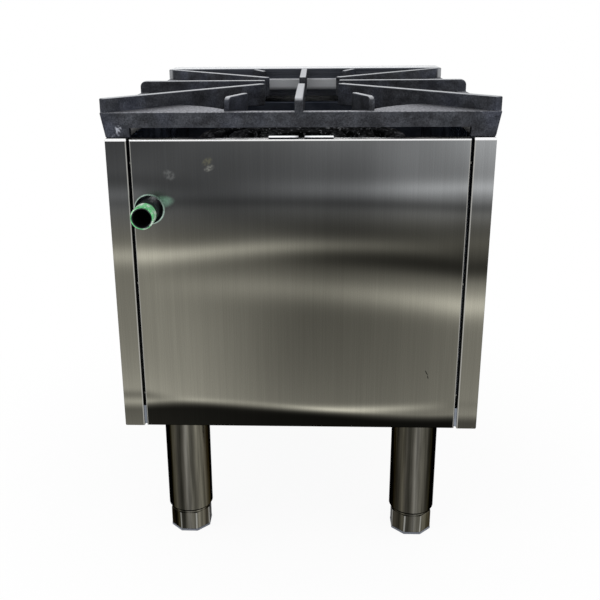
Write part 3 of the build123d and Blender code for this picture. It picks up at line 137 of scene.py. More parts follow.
def add_node(
    tree: bpy.types.NodeTree, kind: str, inputs: dict[str | int, Any] | None = None, **settings: Any
) -> bpy.types.Node:
    """Add a node with its settings, values and links.

    Args:
        tree: The node tree it goes in.
        kind: Blender's name of the node type.
        inputs: What feeds each input, by its name or number.
        **settings: The node's own properties.

    Returns:
        The new node.
    """
    node = tree.nodes.new(kind)
    for name, value in settings.items():
        setattr(node, name, value)
    for key, value in (inputs or {}).items():
        feed(tree, node.inputs[key], value)
    return node


@dataclass(frozen=True)
class Field:
    """A number or colour that varies over a surface. Arithmetic on it adds nodes to its tree."""

    tree: bpy.types.NodeTree
    socket: bpy.types.NodeSocket

    def step(self, operation: str, *others: Any) -> Field:
        """Result of one operation, by Blender's name of it, on this number and others."""
        node = add_node(self.tree, "ShaderNodeMath", dict(enumerate((self, *others))), operation=operation)
        return Field(self.tree, node.outputs[0])

    def __add__(self, other: Any) -> Field:
        """Sum."""
        return self.step("ADD", other)

    def __sub__(self, other: Any) -> Field:
        """Difference."""
        return self.step("SUBTRACT", other)

    def __mul__(self, other: Any) -> Field:
        """Product."""
        return self.step("MULTIPLY", other)

    def __truediv__(self, other: Any) -> Field:
        """Quotient."""
        return self.step("DIVIDE", other)

    def __abs__(self) -> Field:
        """Distance from zero."""
        return self.step("ABSOLUTE")

    def __rpow__(self, base: float) -> Field:
        """A plain number raised to this power."""
        node = add_node(self.tree, "ShaderNodeMath", {0: base, 1: self}, operation="POWER")
        return Field(self.tree, node.outputs[0])

    def between(self, low: float, high: float, to_low: float = 0.0, to_high: float = 1.0) -> Field:
        """Turn one range of the number smoothly into another.

        Args:
            low: Where the change starts.
            high: Where the change ends; it may be the lower of the two.
            to_low: The result at the start, and before it.
            to_high: The result at the end, and past it.

        Returns:
            The result.
        """
        node = add_node(
            self.tree, "ShaderNodeMapRange",
            {"Value": self, "From Min": low, "From Max": high, "To Min": to_low, "To Max": to_high},
            interpolation_type="SMOOTHSTEP",
        )
        return Field(self.tree, node.outputs["Result"])

    def spread(self, to_low: float, to_high: float) -> Field:
        """Noise turned into a range of its own."""
        return self.between(*NOISE_SPAN, to_low, to_high)

    def scaled(self, level: Field) -> Field:
        """A colour times a number."""
        node = add_node(self.tree, "ShaderNodeVectorMath", {0: self, "Scale": level}, operation="SCALE")
        return Field(self.tree, node.outputs[0])

    def ramp(self, stops: Iterable[tuple[float, Colour]]) -> Field:
        """Colour by this number.

        Args:
            stops: Position and colour of each stop, in order.

        Returns:
            The colour.
        """
        node = add_node(self.tree, "ShaderNodeValToRGB", {0: self})
        elements = node.color_ramp.elements
        for index, (position, colour) in enumerate(stops):
            element = elements[index] if index < 2 else elements.new(position)
            element.position = position
            element.color = colour
        return Field(self.tree, node.outputs[0])


class Axes(NamedTuple):
    """A place or a direction, as one field for each axis."""

    x: Field
    y: Field
    z: Field


class Surface:
    """A material in the making: its shader, and the places and patterns that feed it."""

    def __init__(self, material: bpy.types.Material, colour: Colour) -> None:
        """Start the material afresh with one plain colour.

        Args:
            material: The material.
            colour: Its main colour.
        """
        material.use_nodes = True
        self.tree = material.node_tree
        self.tree.nodes.clear()
        self.shader = add_node(self.tree, "ShaderNodeBsdfPrincipled", {"Base Color": colour})
        add_node(self.tree, "ShaderNodeOutputMaterial", {"Surface": self.shader.outputs[0]})
        self.spot = add_node(self.tree, "ShaderNodeTexCoord").outputs["Object"]

    def axes(self, vector: bpy.types.NodeSocket) -> Axes:
        """The three parts of a vector."""
        node = add_node(self.tree, "ShaderNodeSeparateXYZ", {0: vector})
        return Axes(*(Field(self.tree, part) for part in node.outputs))

    @cached_property
    def place(self) -> Axes:
        """Each point's place, in metres."""
        return self.axes(self.spot)

    @cached_property
    def facing(self) -> Axes:
        """The way each point looks."""
        return self.axes(add_node(self.tree, "ShaderNodeNewGeometry").outputs["Normal"])

    def set(self, name: str, value: Any) -> None:
        """Give the shader a field or a plain value."""
        feed(self.tree, self.shader.inputs[name], value)

    def noise(
        self, size: float, stretch: Triple = (1.0, 1.0, 1.0), detail: float = 2.0,
        shift: Triple = (0.0, 0.0, 0.0),
    ) -> Field:
        """Noise with spots of a real size.

        Args:
            size: Distance between spots, in metres.
            stretch: Scale along each axis; a small one draws the spots out.
            detail: Octaves of finer noise.
            shift: Offset of the pattern.

        Returns:
            Its strength at each point.
        """
        mapping = {"Vector": self.spot, "Scale": stretch, "Location": shift}
        moved = add_node(self.tree, "ShaderNodeMapping", mapping).outputs[0]
        spots = {"Vector": moved, "Scale": 1.0 / size, "Detail": detail}
        return Field(self.tree, add_node(self.tree, "ShaderNodeTexNoise", spots).outputs["Fac"])

    def blend(self, share: Any, first: Any, second: Any) -> Field:
        """The first colour with a share of the second."""
        node = add_node(self.tree, "ShaderNodeMix", {0: share, 6: first, 7: second}, data_type="RGBA")
        return Field(self.tree, node.outputs[2])

    def bump(self, height: Field, depth: float, strength: float) -> None:
        """Raise the surface by a pattern, on top of what raises it already.

        Args:
            height: The pattern.
            depth: Its real depth, in metres.
            strength: The share of that depth that shows.
        """
        inputs = {"Height": height, "Distance": depth, "Strength": strength}
        for link in self.shader.inputs["Normal"].links:
            inputs["Normal"] = link.from_socket
        self.set("Normal", add_node(self.tree, "ShaderNodeBump", inputs).outputs["Normal"])


# ------------------------------------------------------------------ finishes
class Grain(Enum):
    """Way in which a sheet's brush lines run, as a stretch of the pattern along each axis."""

    UPRIGHT = (1.0, 1.0, 0.008)
    ACROSS = (0.008, 1.0, 1.0)


@dataclass(frozen=True)
class WearOrPaintedLightMark:
    """A scuff, scratch, or painted glow or highlight. Places and sizes are in millimetres, the angle in
    degrees.

    It is full strength to "fade_from" of the way out, squared, and "unbroken" is what the noise leaves of it.
    """

    across: float
    height: float
    length: float
    width: float
    angle: float
    colour: str
    share: float
    fade_from: float = 0.1
    unbroken: float = 0.2

    def strength(self, surface: Surface) -> Field:
        """How much of it each point has: an oval that fades outwards, broken up by 3 mm noise.

        Args:
            surface: The material it is on.

        Returns:
            Its share of the colour.
        """
        turn = math.radians(self.angle)
        right = surface.place.x / MM - self.across
        up = surface.place.z / MM - self.height
        along = (right * math.cos(turn) + up * math.sin(turn)) / self.length
        over = (up * math.cos(turn) - right * math.sin(turn)) / self.width
        shown = (along * along + over * over).between(self.fade_from, 1.0, self.share, 0.0)
        return shown * surface.noise(3 * MM, detail=3.0).between(0.4, 0.6, self.unbroken, 1.0)


@dataclass(frozen=True)
class Finish:
    """A material: its name and its main colour."""

    name: str
    colour: str

    def build(self) -> bpy.types.Material:
        """Make the material, once.

        Returns:
            The material.
        """
        made = bpy.data.materials.get(self.name)
        if made is None:
            made = bpy.data.materials.new(self.name)
            self.dress(Surface(made, linear(self.colour)))
        return made

    def dress(self, surface: Surface) -> None:
        """Add the finish's own pattern."""
        raise NotImplementedError


class Bow(NamedTuple):
    """A value that changes from side to side of a bowed sheet.

    "Tilt" is what the +X edge has more than the middle and the -X edge has less, and "ends" is what both
    edges have more than the middle.
    """

    middle: float
    tilt: float = 0.0
    ends: float = 0.0

    def over(self, across: Field) -> Field:
        """The value at each point, from -1 at one edge to 1 at the other."""
        return (across * self.ends + self.tilt) * across + self.middle


class PaintedSheenBand(NamedTuple):
    """A painted band of reflection, lighter or darker, across a bowed sheet; in millimetres and stops of
    light.
    """

    height: Bow
    half_width: float
    stops: Bow


# Painted reflections on the bowed sheets: soft bands of lighter and darker sheen.
REAR_PAINTED_SHEEN_BANDS = (
    PaintedSheenBand(Bow(600, 24, -98), 49, Bow(1.0, 0.3, -1.28)),
    PaintedSheenBand(Bow(505, 4, 4), 11, Bow(0.5, -0.92, -0.3)),
    PaintedSheenBand(Bow(488, 3, -4), 7, Bow(-0.65, 0.2)),
    PaintedSheenBand(Bow(457, 24, 18), 18, Bow(-0.7, 0.92, 0.35)),
    PaintedSheenBand(Bow(432, -4, -10), 12.5, Bow(2.1, 0.52, -2.7)),
    PaintedSheenBand(Bow(424, 7, -10), 14, Bow(-1.24, 2.15, 0.55)),
    PaintedSheenBand(Bow(379, 13, -8), 19, Bow(1.1, -0.82, -0.3)),
    PaintedSheenBand(Bow(449, -318, 294), 122, Bow(0.35, 1.63, -0.54)),
    PaintedSheenBand(Bow(215, 5, 14), 6, Bow(2.0, -0.4, -2.6)),
)
# In order: a smudge in two parts, a fainter one, a painted reflection of the green tape beside the pipe and
# a painted highlight round it, and a scratch in two strokes.
REAR_WEAR_AND_PAINTED_LIGHT = (
    WearOrPaintedLightMark(108, 537, 8, 5, -30, "77745c", 0.4),
    WearOrPaintedLightMark(106, 529, 8, 4, -25, "a2a29a", 0.42),
    WearOrPaintedLightMark(154, 521, 9, 7, 30, "8e908f", 0.28),
    WearOrPaintedLightMark(168, 488, 21, 9, -8, "9fcbb4", 0.55, 0.0, 0.8),
    WearOrPaintedLightMark(179.9, 479.5, 19.2, 19.2, 0, "b9d3c6", 0.8, 0.86, 0.7),
    WearOrPaintedLightMark(-161, 268, 4.5, 0.7, 62, "141414", 0.95, 0.4, 0.9),
    WearOrPaintedLightMark(-163, 262, 2.6, 0.7, 76, "141414", 0.95, 0.4, 0.9),
)
FOOT_SCUFFS = (
    WearOrPaintedLightMark(212, 574, 5, 6, 20, "c9ccd6", 0.85, 0.1, 0.0),
    WearOrPaintedLightMark(216, 566, 8, 3, -30, "b4b8c4", 0.6, 0.1, 0.0),
)


@dataclass(frozen=True)
class BrushedStainless(Finish):
    """Brushed 430 stainless sheet: fine parallel scratches over a soft sheen that changes across it.

    "Edge glint" is how brightly it mirrors at grazing angles, from 0 to 1. A low one keeps it from glaring.
    """

    grain: Grain = Grain.UPRIGHT
    roughness: float = 0.24
    roughness_change: Span = (-0.03, 0.04)
    edge_glint: float = 0.3
    brushing: float = 0.7
    line_levels: Span = (0.95, 1.05)
    streak_levels: Span = (0.98, 1.02)
    cloud_levels: Span = (0.8, 1.2)
    cool_tint: str = "f8fbfd"
    warm_tint: str = "fffbe6"
    tint_heights: Span = (0.43, 0.50)

    def dress(self, surface: Surface) -> None:
        """Brush lines 0.9 mm apart, coarser than the real 0.1 mm so that they show, over the sheen.

        Args:
            surface: The material.
        """
        lines = surface.noise(0.9 * MM, self.grain.value, detail=3.0)
        streaks = surface.noise(7 * MM, self.grain.value, shift=(0.3, 0.1, 0.2))
        level = lines.spread(*self.line_levels) * streaks.spread(*self.streak_levels) * self.sheen(surface)
        shade = self.tint(surface, *self.tint_heights).scaled(level)
        surface.set("Base Color", self.wear_and_painted_light(surface, shade))
        surface.set("Metallic", 1.0)
        surface.set("Roughness", lines.spread(*self.roughness_change) + self.roughness)
        surface.set("Specular Tint", grey(self.edge_glint))
        surface.set("Anisotropic", self.brushing)
        if self.grain is Grain.ACROSS:
            surface.set("Anisotropic Rotation", QUARTER_TURN)
        tangent = add_node(surface.tree, "ShaderNodeTangent", direction_type="RADIAL", axis="Z")
        surface.set("Tangent", tangent.outputs[0])
        surface.bump(lines, 0.01 * MM, 0.15)

    def tint(self, surface: Surface, low: float, high: float) -> Field:
        """Hue by height, warm up to one height and cool from another; on the bowed back it tints the painted
        reflection.
        """
        return surface.blend(
            surface.place.z.between(low, high), linear(self.warm_tint), linear(self.cool_tint)
        )

    def sheen(self, surface: Surface) -> Field:
        """Brightness over the sheet: its main colour with broad, soft clouds of 160 mm."""
        clouds = surface.noise(160 * MM, detail=1.0).spread(*self.cloud_levels)
        return clouds * linear(self.colour)[1]

    def wear_and_painted_light(self, surface: Surface, shade: Field) -> Field:
        """The sheet's colour with its wear and painted light; a plain sheet has none."""
        return shade


@dataclass(frozen=True)
class BowedStainless(BrushedStainless):
    """Brushed stainless on the back of the body, whose curved bands of sheen are painted reflections.

    Stops are of light. "Tone" is the painted reflection's broad brightness, and "rise" is what it gains from
    its middle height to its top. The foot is the strip at the bottom with a painted reflection of the shade
    below it, up to a line in millimetres. The edge is a painted highlight beside the seam, by its distance
    from the middle. The fold is a painted highlight along the rear of the top, placed from the body's top
    rear corner.
    Level faces in front of it lie under the grate and get painted shade.
    """

    half_span: float = 0.2
    middle_height: float = 375.0
    half_height: float = 190.0
    tone: Bow = Bow(-3.91, -0.41, 0.66)
    rise: Bow = Bow(-0.74, -1.09)
    rise_ends: float = 0.76
    bands: tuple[PaintedSheenBand, ...] = REAR_PAINTED_SHEEN_BANDS
    band_share: float = 1.0
    foot_line: Bow = Bow(213.0, 18.7, -2.0)
    foot_twist: float = -11.5
    foot_width: float = 15.0
    foot_reflected_shade_stops: float = -5.1
    flange_width: float = 2 * MM
    flange_stops: float = 0.0
    back_facing: Span = (0.3, 0.7)
    side_levels: Span = (0.192, 0.128)
    side_line_levels: Span = (0.93, 1.07)
    side_heights: Span = (0.19, 0.56)
    side_tint_heights: Span = (0.2, 0.5)
    marks: tuple[WearOrPaintedLightMark, ...] = ()
    edge: float = 203.8 * MM
    edge_width: float = 0.9 * MM
    seam_highlight_share: float = 0.75
    seam_highlight_colour: str = "b4b3ae"
    fold_depths: Span = (-12.5 * MM, -8.5 * MM)
    fold_heights: Span = (-3.4 * MM, -2.9 * MM)
    fold_highlight_colour: str = "ffffff"
    under_grate_shade_share: float = 0.97
    under_grate_shade_colour: str = "121214"

    def sheen(self, surface: Surface) -> Field:
        """Painted reflection: broad change of tone, the bands, the dark foot and the flange beside the seam.

        Args:
            surface: The material.

        Returns:
            Brightness at each point.
        """
        across = (surface.place.x / self.half_span).step("MINIMUM", 1.0).step("MAXIMUM", -1.0)
        height = surface.place.z / MM
        up = (height - self.middle_height) / self.half_height
        total = self.tone.over(across) + up * (up * self.rise_ends + self.rise.over(across))
        for band in self.bands:
            away = (height - band.height.over(across)) / band.half_width
            bell = (away * away * -1.0).step("EXPONENT")
            total = total + bell * band.stops.over(across) * self.band_share
        # The foot: a dark strip of painted reflection of the shade below the body.
        line = self.foot_line.over(across) + across * across * across * self.foot_twist
        below = (line - height).between(-self.foot_width / 2, self.foot_width / 2)
        flange = surface.place.x.between(-self.half_span, -self.half_span - self.flange_width)
        return 2.0 ** (total + below * self.foot_reflected_shade_stops + flange * self.flange_stops)

    def wear_and_painted_light(self, surface: Surface, shade: Field) -> Field:
        """Marks of wear and painted light, painted highlights beside the seams, painted shade on the flanges
        under the grate, and a painted highlight along the fold at the top.

        Args:
            surface: The material.
            shade: The sheet's own colour.

        Returns:
            The colour with its wear and painted light.
        """
        made = surface.blend(abs(surface.facing.y).between(*self.back_facing), self.side(surface), shade)
        for mark in self.marks:
            made = surface.blend(mark.strength(surface), made, linear(mark.colour))
        # Painted highlight in a thin line beside each seam.
        away = abs(abs(surface.place.x) - self.edge)
        line = away.between(self.edge_width * 0.4, self.edge_width, self.seam_highlight_share, 0.0)
        made = surface.blend(line, made, linear(self.seam_highlight_colour))
        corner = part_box("side_panel_right")[1]
        rear = (surface.place.y - corner.y).between(*self.fold_depths)
        # Painted shade on the level faces in front of the fold, which lie under the grate.
        level = surface.facing.z.between(*LOOKS_ALONG, 0.0, self.under_grate_shade_share)
        made = surface.blend(level - level * rear, made, linear(self.under_grate_shade_colour))
        # Painted highlight along the fold at the rear of the top.
        fold = (surface.place.z - corner.z).between(*self.fold_heights) * rear
        return surface.blend(fold, made, linear(self.fold_highlight_colour))

    def side(self, surface: Surface) -> Field:
        """Plain tone of the faces that look sideways.

        Args:
            surface: The material.

        Returns:
            Their colour.
        """
        level = surface.place.z.between(*self.side_heights, *self.side_levels)
        lines = surface.noise(1.2 * MM, self.grain.value, detail=3.0, shift=(0.0, 0.2, 0.0))
        level = level * lines.spread(*self.side_line_levels)
        return self.tint(surface, *self.side_tint_heights).scaled(level)


@dataclass(frozen=True)
class ZincSheet(Finish):
    """Galvanised sheet: dull blue-grey zinc with a faint crystal pattern, darker near the body's top."""

    edge_glint: float = 0.8
    roughnesses: Span = (0.38, 0.6)
    darkened_colour: str = "363b47"
    darkened_heights: Span = (-104 * MM, -44 * MM)
    darkened_shares: Span = (0.98, 0.86)

    def dress(self, surface: Surface) -> None:
        """Crystals about 12 mm across in two close greys, with darker patches 35 mm apart near the body's
        top.

        Args:
            surface: The material.
        """
        cells = {"Vector": surface.spot, "Scale": 1 / (12 * MM)}
        crystals = add_node(surface.tree, "ShaderNodeTexVoronoi", cells).outputs["Color"]
        shade = add_node(surface.tree, "ShaderNodeSeparateColor", {0: crystals}).outputs[0]
        dark = surface.blend(0.35, linear(self.colour), grey(0.02))
        clean = surface.blend(shade, linear(self.colour), dark)
        patches = surface.noise(35 * MM, detail=4.0, shift=(0.2, 0.0, 0.1))
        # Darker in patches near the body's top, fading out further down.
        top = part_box("side_panel_right")[1].z
        darkened = (surface.place.z - top).between(*self.darkened_heights)
        darkened = darkened * patches.between(0.35, 0.6, *self.darkened_shares)
        surface.set("Base Color", surface.blend(darkened, clean, linear(self.darkened_colour)))
        surface.set("Specular Tint", surface.blend(darkened, grey(self.edge_glint), grey(0.0)))
        surface.set("Metallic", 1.0)
        surface.set("Roughness", surface.noise(30 * MM, detail=4.0).spread(*self.roughnesses))


@dataclass(frozen=True)
class OpenSheet(Finish):
    """Sheet with painted light on its level faces, as from above, and painted shade on its upright faces.

    Those that look forward have a share of the painted light, and what is in front of "bright from" has none.
    """

    upright_shade_colour: str = "3a3e48"
    front_painted_light_share: float = 0.0
    front_facing: Span = (-0.9, -0.5)
    bright_from: float = -1.0
    roughness: float = 0.3
    roughness_change: Span = (-0.04, 0.06)
    line_levels: Span = (0.94, 1.06)

    def dress(self, surface: Surface) -> None:
        """Painted light and shade: level faces in the main colour, upright ones darker, with fine brush lines
        along X.

        Args:
            surface: The material.
        """
        lines = surface.noise(1.2 * MM, Grain.ACROSS.value, detail=3.0)
        # Painted light on level faces and a share of it on forward faces; the rest keeps the painted shade
        # colour.
        front = surface.facing.y.between(*self.front_facing, self.front_painted_light_share, 0.0)
        bright = surface.facing.z.between(*LOOKS_ALONG).step("MAXIMUM", front)
        bright = bright * surface.place.y.between(self.bright_from, self.bright_from + 5 * MM)
        colour = surface.blend(bright, linear(self.upright_shade_colour), linear(self.colour))
        surface.set("Base Color", colour.scaled(lines.spread(*self.line_levels)))
        surface.set("Metallic", 1.0)
        surface.set("Roughness", lines.spread(*self.roughness_change) + self.roughness)


@dataclass(frozen=True)
class CastIron(Finish):
    """Sand-cast grey iron: grainy dark sides, and tops bright partly from wear and partly from painted light.

    The webs are the grate's low flat corners, by height from its top; their level faces carry a painted
    reflection of the sky. The lit face, whose light is painted, is the back of its front rail, by depth from
    its front and height from its foot. Scuffs are at its rear, by depth from its back.
    """

    dark_colour: str = "3d3e42"
    blue_colour: str = "4f5360"
    top_colour: str = "c3c5c9"
    top_share: float = 1.0
    top_facing: Span = (0.45, 0.95)
    web_reflection_colour: str = "aaabb1"
    web_heights: Span = (-13 * MM, -4 * MM)
    web_floor: float = 0.4
    lit_colour: str = "f2f4f7"
    lit_depths: Span = (17.3 * MM, 12.3 * MM)
    lit_heights: Span = (12 * MM, 18 * MM)
    lit_shares: Span = (0.25, 0.9)
    grit: float = 1.1 * MM
    grit_levels: Span = (0.7, 1.35)
    sand: float = 2.6 * MM
    sand_levels: Span = (0.84, 1.2)
    stain_levels: Span = (0.76, 1.24)
    fleck_share: float = 0.0
    roughnesses: Span = (0.62, 0.42)
    edge_glint: float = 0.5
    scuffs: tuple[WearOrPaintedLightMark, ...] = ()
    scuff_depths: Span = (-47 * MM, -37 * MM)

    def dress(self, surface: Surface) -> None:
        """Grit about a millimetre across on lumps of 12 mm, with upward faces bright from wear and painted
        light.

        Args:
            surface: The material.
        """
        grains = surface.noise(self.grit, detail=4.0)
        lumps = surface.noise(12 * MM, detail=3.0)
        sand = surface.noise(self.sand, detail=5.0, shift=(0.1, 0.2, 0.3))
        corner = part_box("grate")[1]
        tall = (surface.place.z - corner.z).between(*self.web_heights)
        web = sand.between(0.4, 0.6, self.web_floor, 1.0)
        wear_and_painted_light = (grains.between(0.25, 0.5, 0.7, 1.0) - web) * tall + web
        # Upward faces turn bright, partly from wear and partly as painted light from above; low webs get a
        # painted reflection.
        ground = surface.facing.z.between(*self.top_facing, 0.0, self.top_share) * wear_and_painted_light
        top = surface.blend(tall, linear(self.web_reflection_colour), linear(self.top_colour))
        colour = surface.blend(ground, self.sides(surface, grains, lumps, sand), top)
        rear = (surface.place.y - corner.y).between(*self.scuff_depths)
        for scuff in self.scuffs:
            colour = surface.blend(scuff.strength(surface) * rear, colour, linear(scuff.colour))
        spots = surface.noise(4.5 * MM, detail=5.0, shift=(0.0, 0.3, 0.0))
        fleck = spots.between(0.56, 0.66) * self.fleck_share
        surface.set("Base Color", surface.blend(fleck, colour, linear(self.top_colour)))
        surface.set("Metallic", 1.0)
        surface.set("Specular Tint", grey(self.edge_glint))
        surface.set("Roughness", ground.between(0.0, 1.0, *self.roughnesses))
        surface.bump(lumps, 0.5 * MM, 0.5)
        surface.bump(grains, 0.25 * MM, 0.6)

    def sides(self, surface: Surface, grains: Field, lumps: Field, sand: Field) -> Field:
        """Dark sides in three greys with stains of 24 mm, and painted light on the lit face.

        Args:
            surface: The material.
            grains: The finest pattern.
            lumps: The coarse pattern.
            sand: The pattern that the mould leaves.

        Returns:
            Their colour.
        """
        blue = surface.noise(55 * MM, shift=(0.4, 0.0, 0.0)).between(0.45, 0.7, 0.0, 0.5)
        stains = surface.noise(24 * MM, (1.0, 1.0, 2.0), detail=5.0, shift=(0.7, 0.1, 0.0))
        level = grains.spread(*self.grit_levels) * sand.between(*FINE_NOISE_SPAN, *self.sand_levels)
        colour = surface.blend(lumps.between(0.35, 0.68), linear(self.dark_colour), linear(self.colour))
        colour = surface.blend(blue, colour, linear(self.blue_colour))
        colour = colour.scaled(level * stains.between(*FINE_NOISE_SPAN, *self.stain_levels))
        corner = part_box("grate")[0]
        # Painted light on the back of the front rail.
        front = (surface.place.y - corner.y).between(*self.lit_depths)
        rise = (surface.place.z - corner.z).between(*self.lit_heights, *self.lit_shares)
        lit = surface.facing.y.between(*LOOKS_ALONG) * front * rise
        return surface.blend(lit, colour, linear(self.lit_colour))


# Painted reflections: the streaks that a polished round leg shows, by the share of the way round from the
# face that looks inwards. The middle one faces outwards.
TUBE_PAINTED_REFLECTIONS = (
    (0.00, "3a382f"), (0.06, "6f6c63"), (0.12, "2a2824"), (0.18, "55524a"), (0.25, "34322b"),
    (0.295, "4a463d"), (0.345, "4c483e"), (0.38, "69665a"), (0.413, "706d62"), (0.445, "57554c"),
    (0.473, "605e56"), (0.494, "74726b"), (0.512, "504e47"), (0.535, "2e2d27"), (0.56, "3f3d37"),
    (0.585, "504d42"), (0.62, "302e28"), (0.66, "3a3730"), (0.72, "4c4941"), (0.78, "4c4942"),
    (0.90, "2a2824"), (1.00, "3a382f"),
)


@dataclass(frozen=True)
class PolishedTube(Finish):
    """Polished stainless tube: painted reflections in dark and tan streaks down it, as a shiny round bar
    shows.

    The legs at -X get painted shade on one side, from one share of the way round to another. The corners
    of the facets can get a painted highlight.
    """

    roughness: float = 0.2
    roughness_change: Span = (-0.04, 0.04)
    edge_glint: float = 0.1
    drift_angles: Span = (-0.03, 0.03)
    line_levels: Span = (0.55, 1.25)
    shaded_turns: Span = (0.46, 0.40)
    shaded_share: float = 0.75
    facets: float = 8.0
    corner_highlight_share: float = 0.0
    corner_highlight_colour: str = "dcdcd6"

    def dress(self, surface: Surface) -> None:
        """Painted reflection streaks by the angle round each leg, measured from the face that looks forward
        or back.

        Args:
            surface: The material.
        """
        low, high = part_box("leg_rear_right")
        axis = (low + high) / 2
        x, y, _ = surface.place
        across = x - x.step("SIGN") * axis.x
        angle = across.step("ARCTAN2", abs(y) - axis.y)
        drift = surface.noise(60 * MM, (1.0, 1.0, 0.5), detail=1.0).spread(*self.drift_angles)
        turn = (drift + angle) / (2 * math.pi) + 0.5
        streaks = turn.ramp((position, linear(code)) for position, code in TUBE_PAINTED_REFLECTIONS)
        # Painted shade on one side of the -X legs.
        shaded = turn.between(*self.shaded_turns, 0.0, self.shaded_share) * x.between(1 * MM, -1 * MM)
        level = surface.noise(5 * MM, (1.0, 1.0, 0.04), detail=3.0).spread(*self.line_levels)
        shade = streaks.scaled(level * (shaded * -1.0 + 1.0))
        # Painted highlight along the corners of the facets.
        facet = (turn * self.facets).step("FRACT")
        corner = abs(facet - 0.5).between(0.02, 0.07, self.corner_highlight_share, 0.0)
        surface.set("Base Color", surface.blend(corner, shade, linear(self.corner_highlight_colour)))
        surface.set("Metallic", 1.0)
        surface.set("Specular Tint", grey(self.edge_glint))
        fine = surface.noise(1.2 * MM, Grain.UPRIGHT.value)
        surface.set("Roughness", fine.spread(*self.roughness_change) + self.roughness)


@dataclass(frozen=True)
class SteelPipe(Finish):
    """Black steel gas pipe: mill scale, with patches of darker bare metal."""

    bare_colour: str = "26282a"
    metallic: float = 0.9
    roughnesses: Span = (0.35, 0.55)

    def dress(self, surface: Surface) -> None:
        """Scale in patches of 8 mm.

        Args:
            surface: The material.
        """
        scale = surface.noise(8 * MM, detail=4.0)
        colour = surface.blend(scale.between(0.35, 0.65), linear(self.colour), linear(self.bare_colour))
        surface.set("Base Color", colour)
        surface.set("Metallic", self.metallic)
        surface.set("Roughness", scale.spread(*self.roughnesses))
        surface.bump(scale, 0.1 * MM, 0.3)


@dataclass(frozen=True)
class MachinedMetal(Finish):
    """Turned or plated small parts: brass valves, zinc-plated bolts and drawn aluminium tube."""

    roughness: float = 0.28
    roughness_change: Span = (-0.05, 0.08)
    stain_share: float = 0.3

    def dress(self, surface: Surface) -> None:
        """Faint stains of 6 mm and tool marks under a millimetre apart.

        Args:
            surface: The material.
        """
        stains = surface.noise(6 * MM, detail=3.0).between(0.4, 0.75)
        darker = surface.blend(self.stain_share, linear(self.colour), grey(0.03))
        surface.set("Base Color", surface.blend(stains, linear(self.colour), darker))
        surface.set("Metallic", 1.0)
        tool_marks = surface.noise(0.8 * MM)
        surface.set("Roughness", tool_marks.spread(*self.roughness_change) + self.roughness)


@dataclass(frozen=True)
class MouldedPlastic(Finish):
    """Moulded plastic: phenolic knobs or soft foot pads, with a fine spark-eroded grain."""

    roughness: float = 0.35
    roughness_change: Span = (-0.06, 0.08)
    handled_share: float = 0.06
    grain_depth: float = 0.04 * MM

    def dress(self, surface: Surface) -> None:
        """Grain of 0.7 mm and a slight change of shade where it has been handled.

        Args:
            surface: The material.
        """
        handled = surface.noise(18 * MM)
        lighter = surface.blend(self.handled_share, linear(self.colour), grey(0.6))
        surface.set("Base Color", surface.blend(handled.between(0.4, 0.7), linear(self.colour), lighter))
        surface.set("Roughness", handled.spread(*self.roughness_change) + self.roughness)
        surface.bump(surface.noise(0.7 * MM), self.grain_depth, 0.4)


@dataclass(frozen=True)
class ThreadTapeFilm(Finish):
    """Green PTFE thread tape: a thin waxy film, stretched and creased over the thread."""

    highlight_colour: str = "e2fbe6"
    shadow_colour: str = "1f7a3f"
    shadow_share: float = 0.75
    roughness: float = 0.32
    waxy_sheen: float = 0.2

    def dress(self, surface: Surface) -> None:
        """Creases 1.8 mm apart along the pipe, as far as the thread under it, with painted shade in them, and
        pale patches of painted highlight.

        Args:
            surface: The material.
        """
        creases = surface.noise(1.8 * MM, (0.25, 1.0, 0.25))
        folds = surface.noise(6 * MM, (1.0, 0.5, 1.0), detail=3.0).between(0.46, 0.64)
        # Pale patches of painted highlight.
        colour = surface.blend(folds, linear(self.colour), linear(self.highlight_colour))
        # Painted shade in the low parts of the creases.
        low = creases.between(0.5, 0.3, 0.0, self.shadow_share)
        surface.set("Base Color", surface.blend(low, colour, linear(self.shadow_colour)))
        surface.set("Roughness", self.roughness)
        surface.set("Sheen Weight", self.waxy_sheen)
        surface.bump(creases, 0.4 * MM, 0.8)


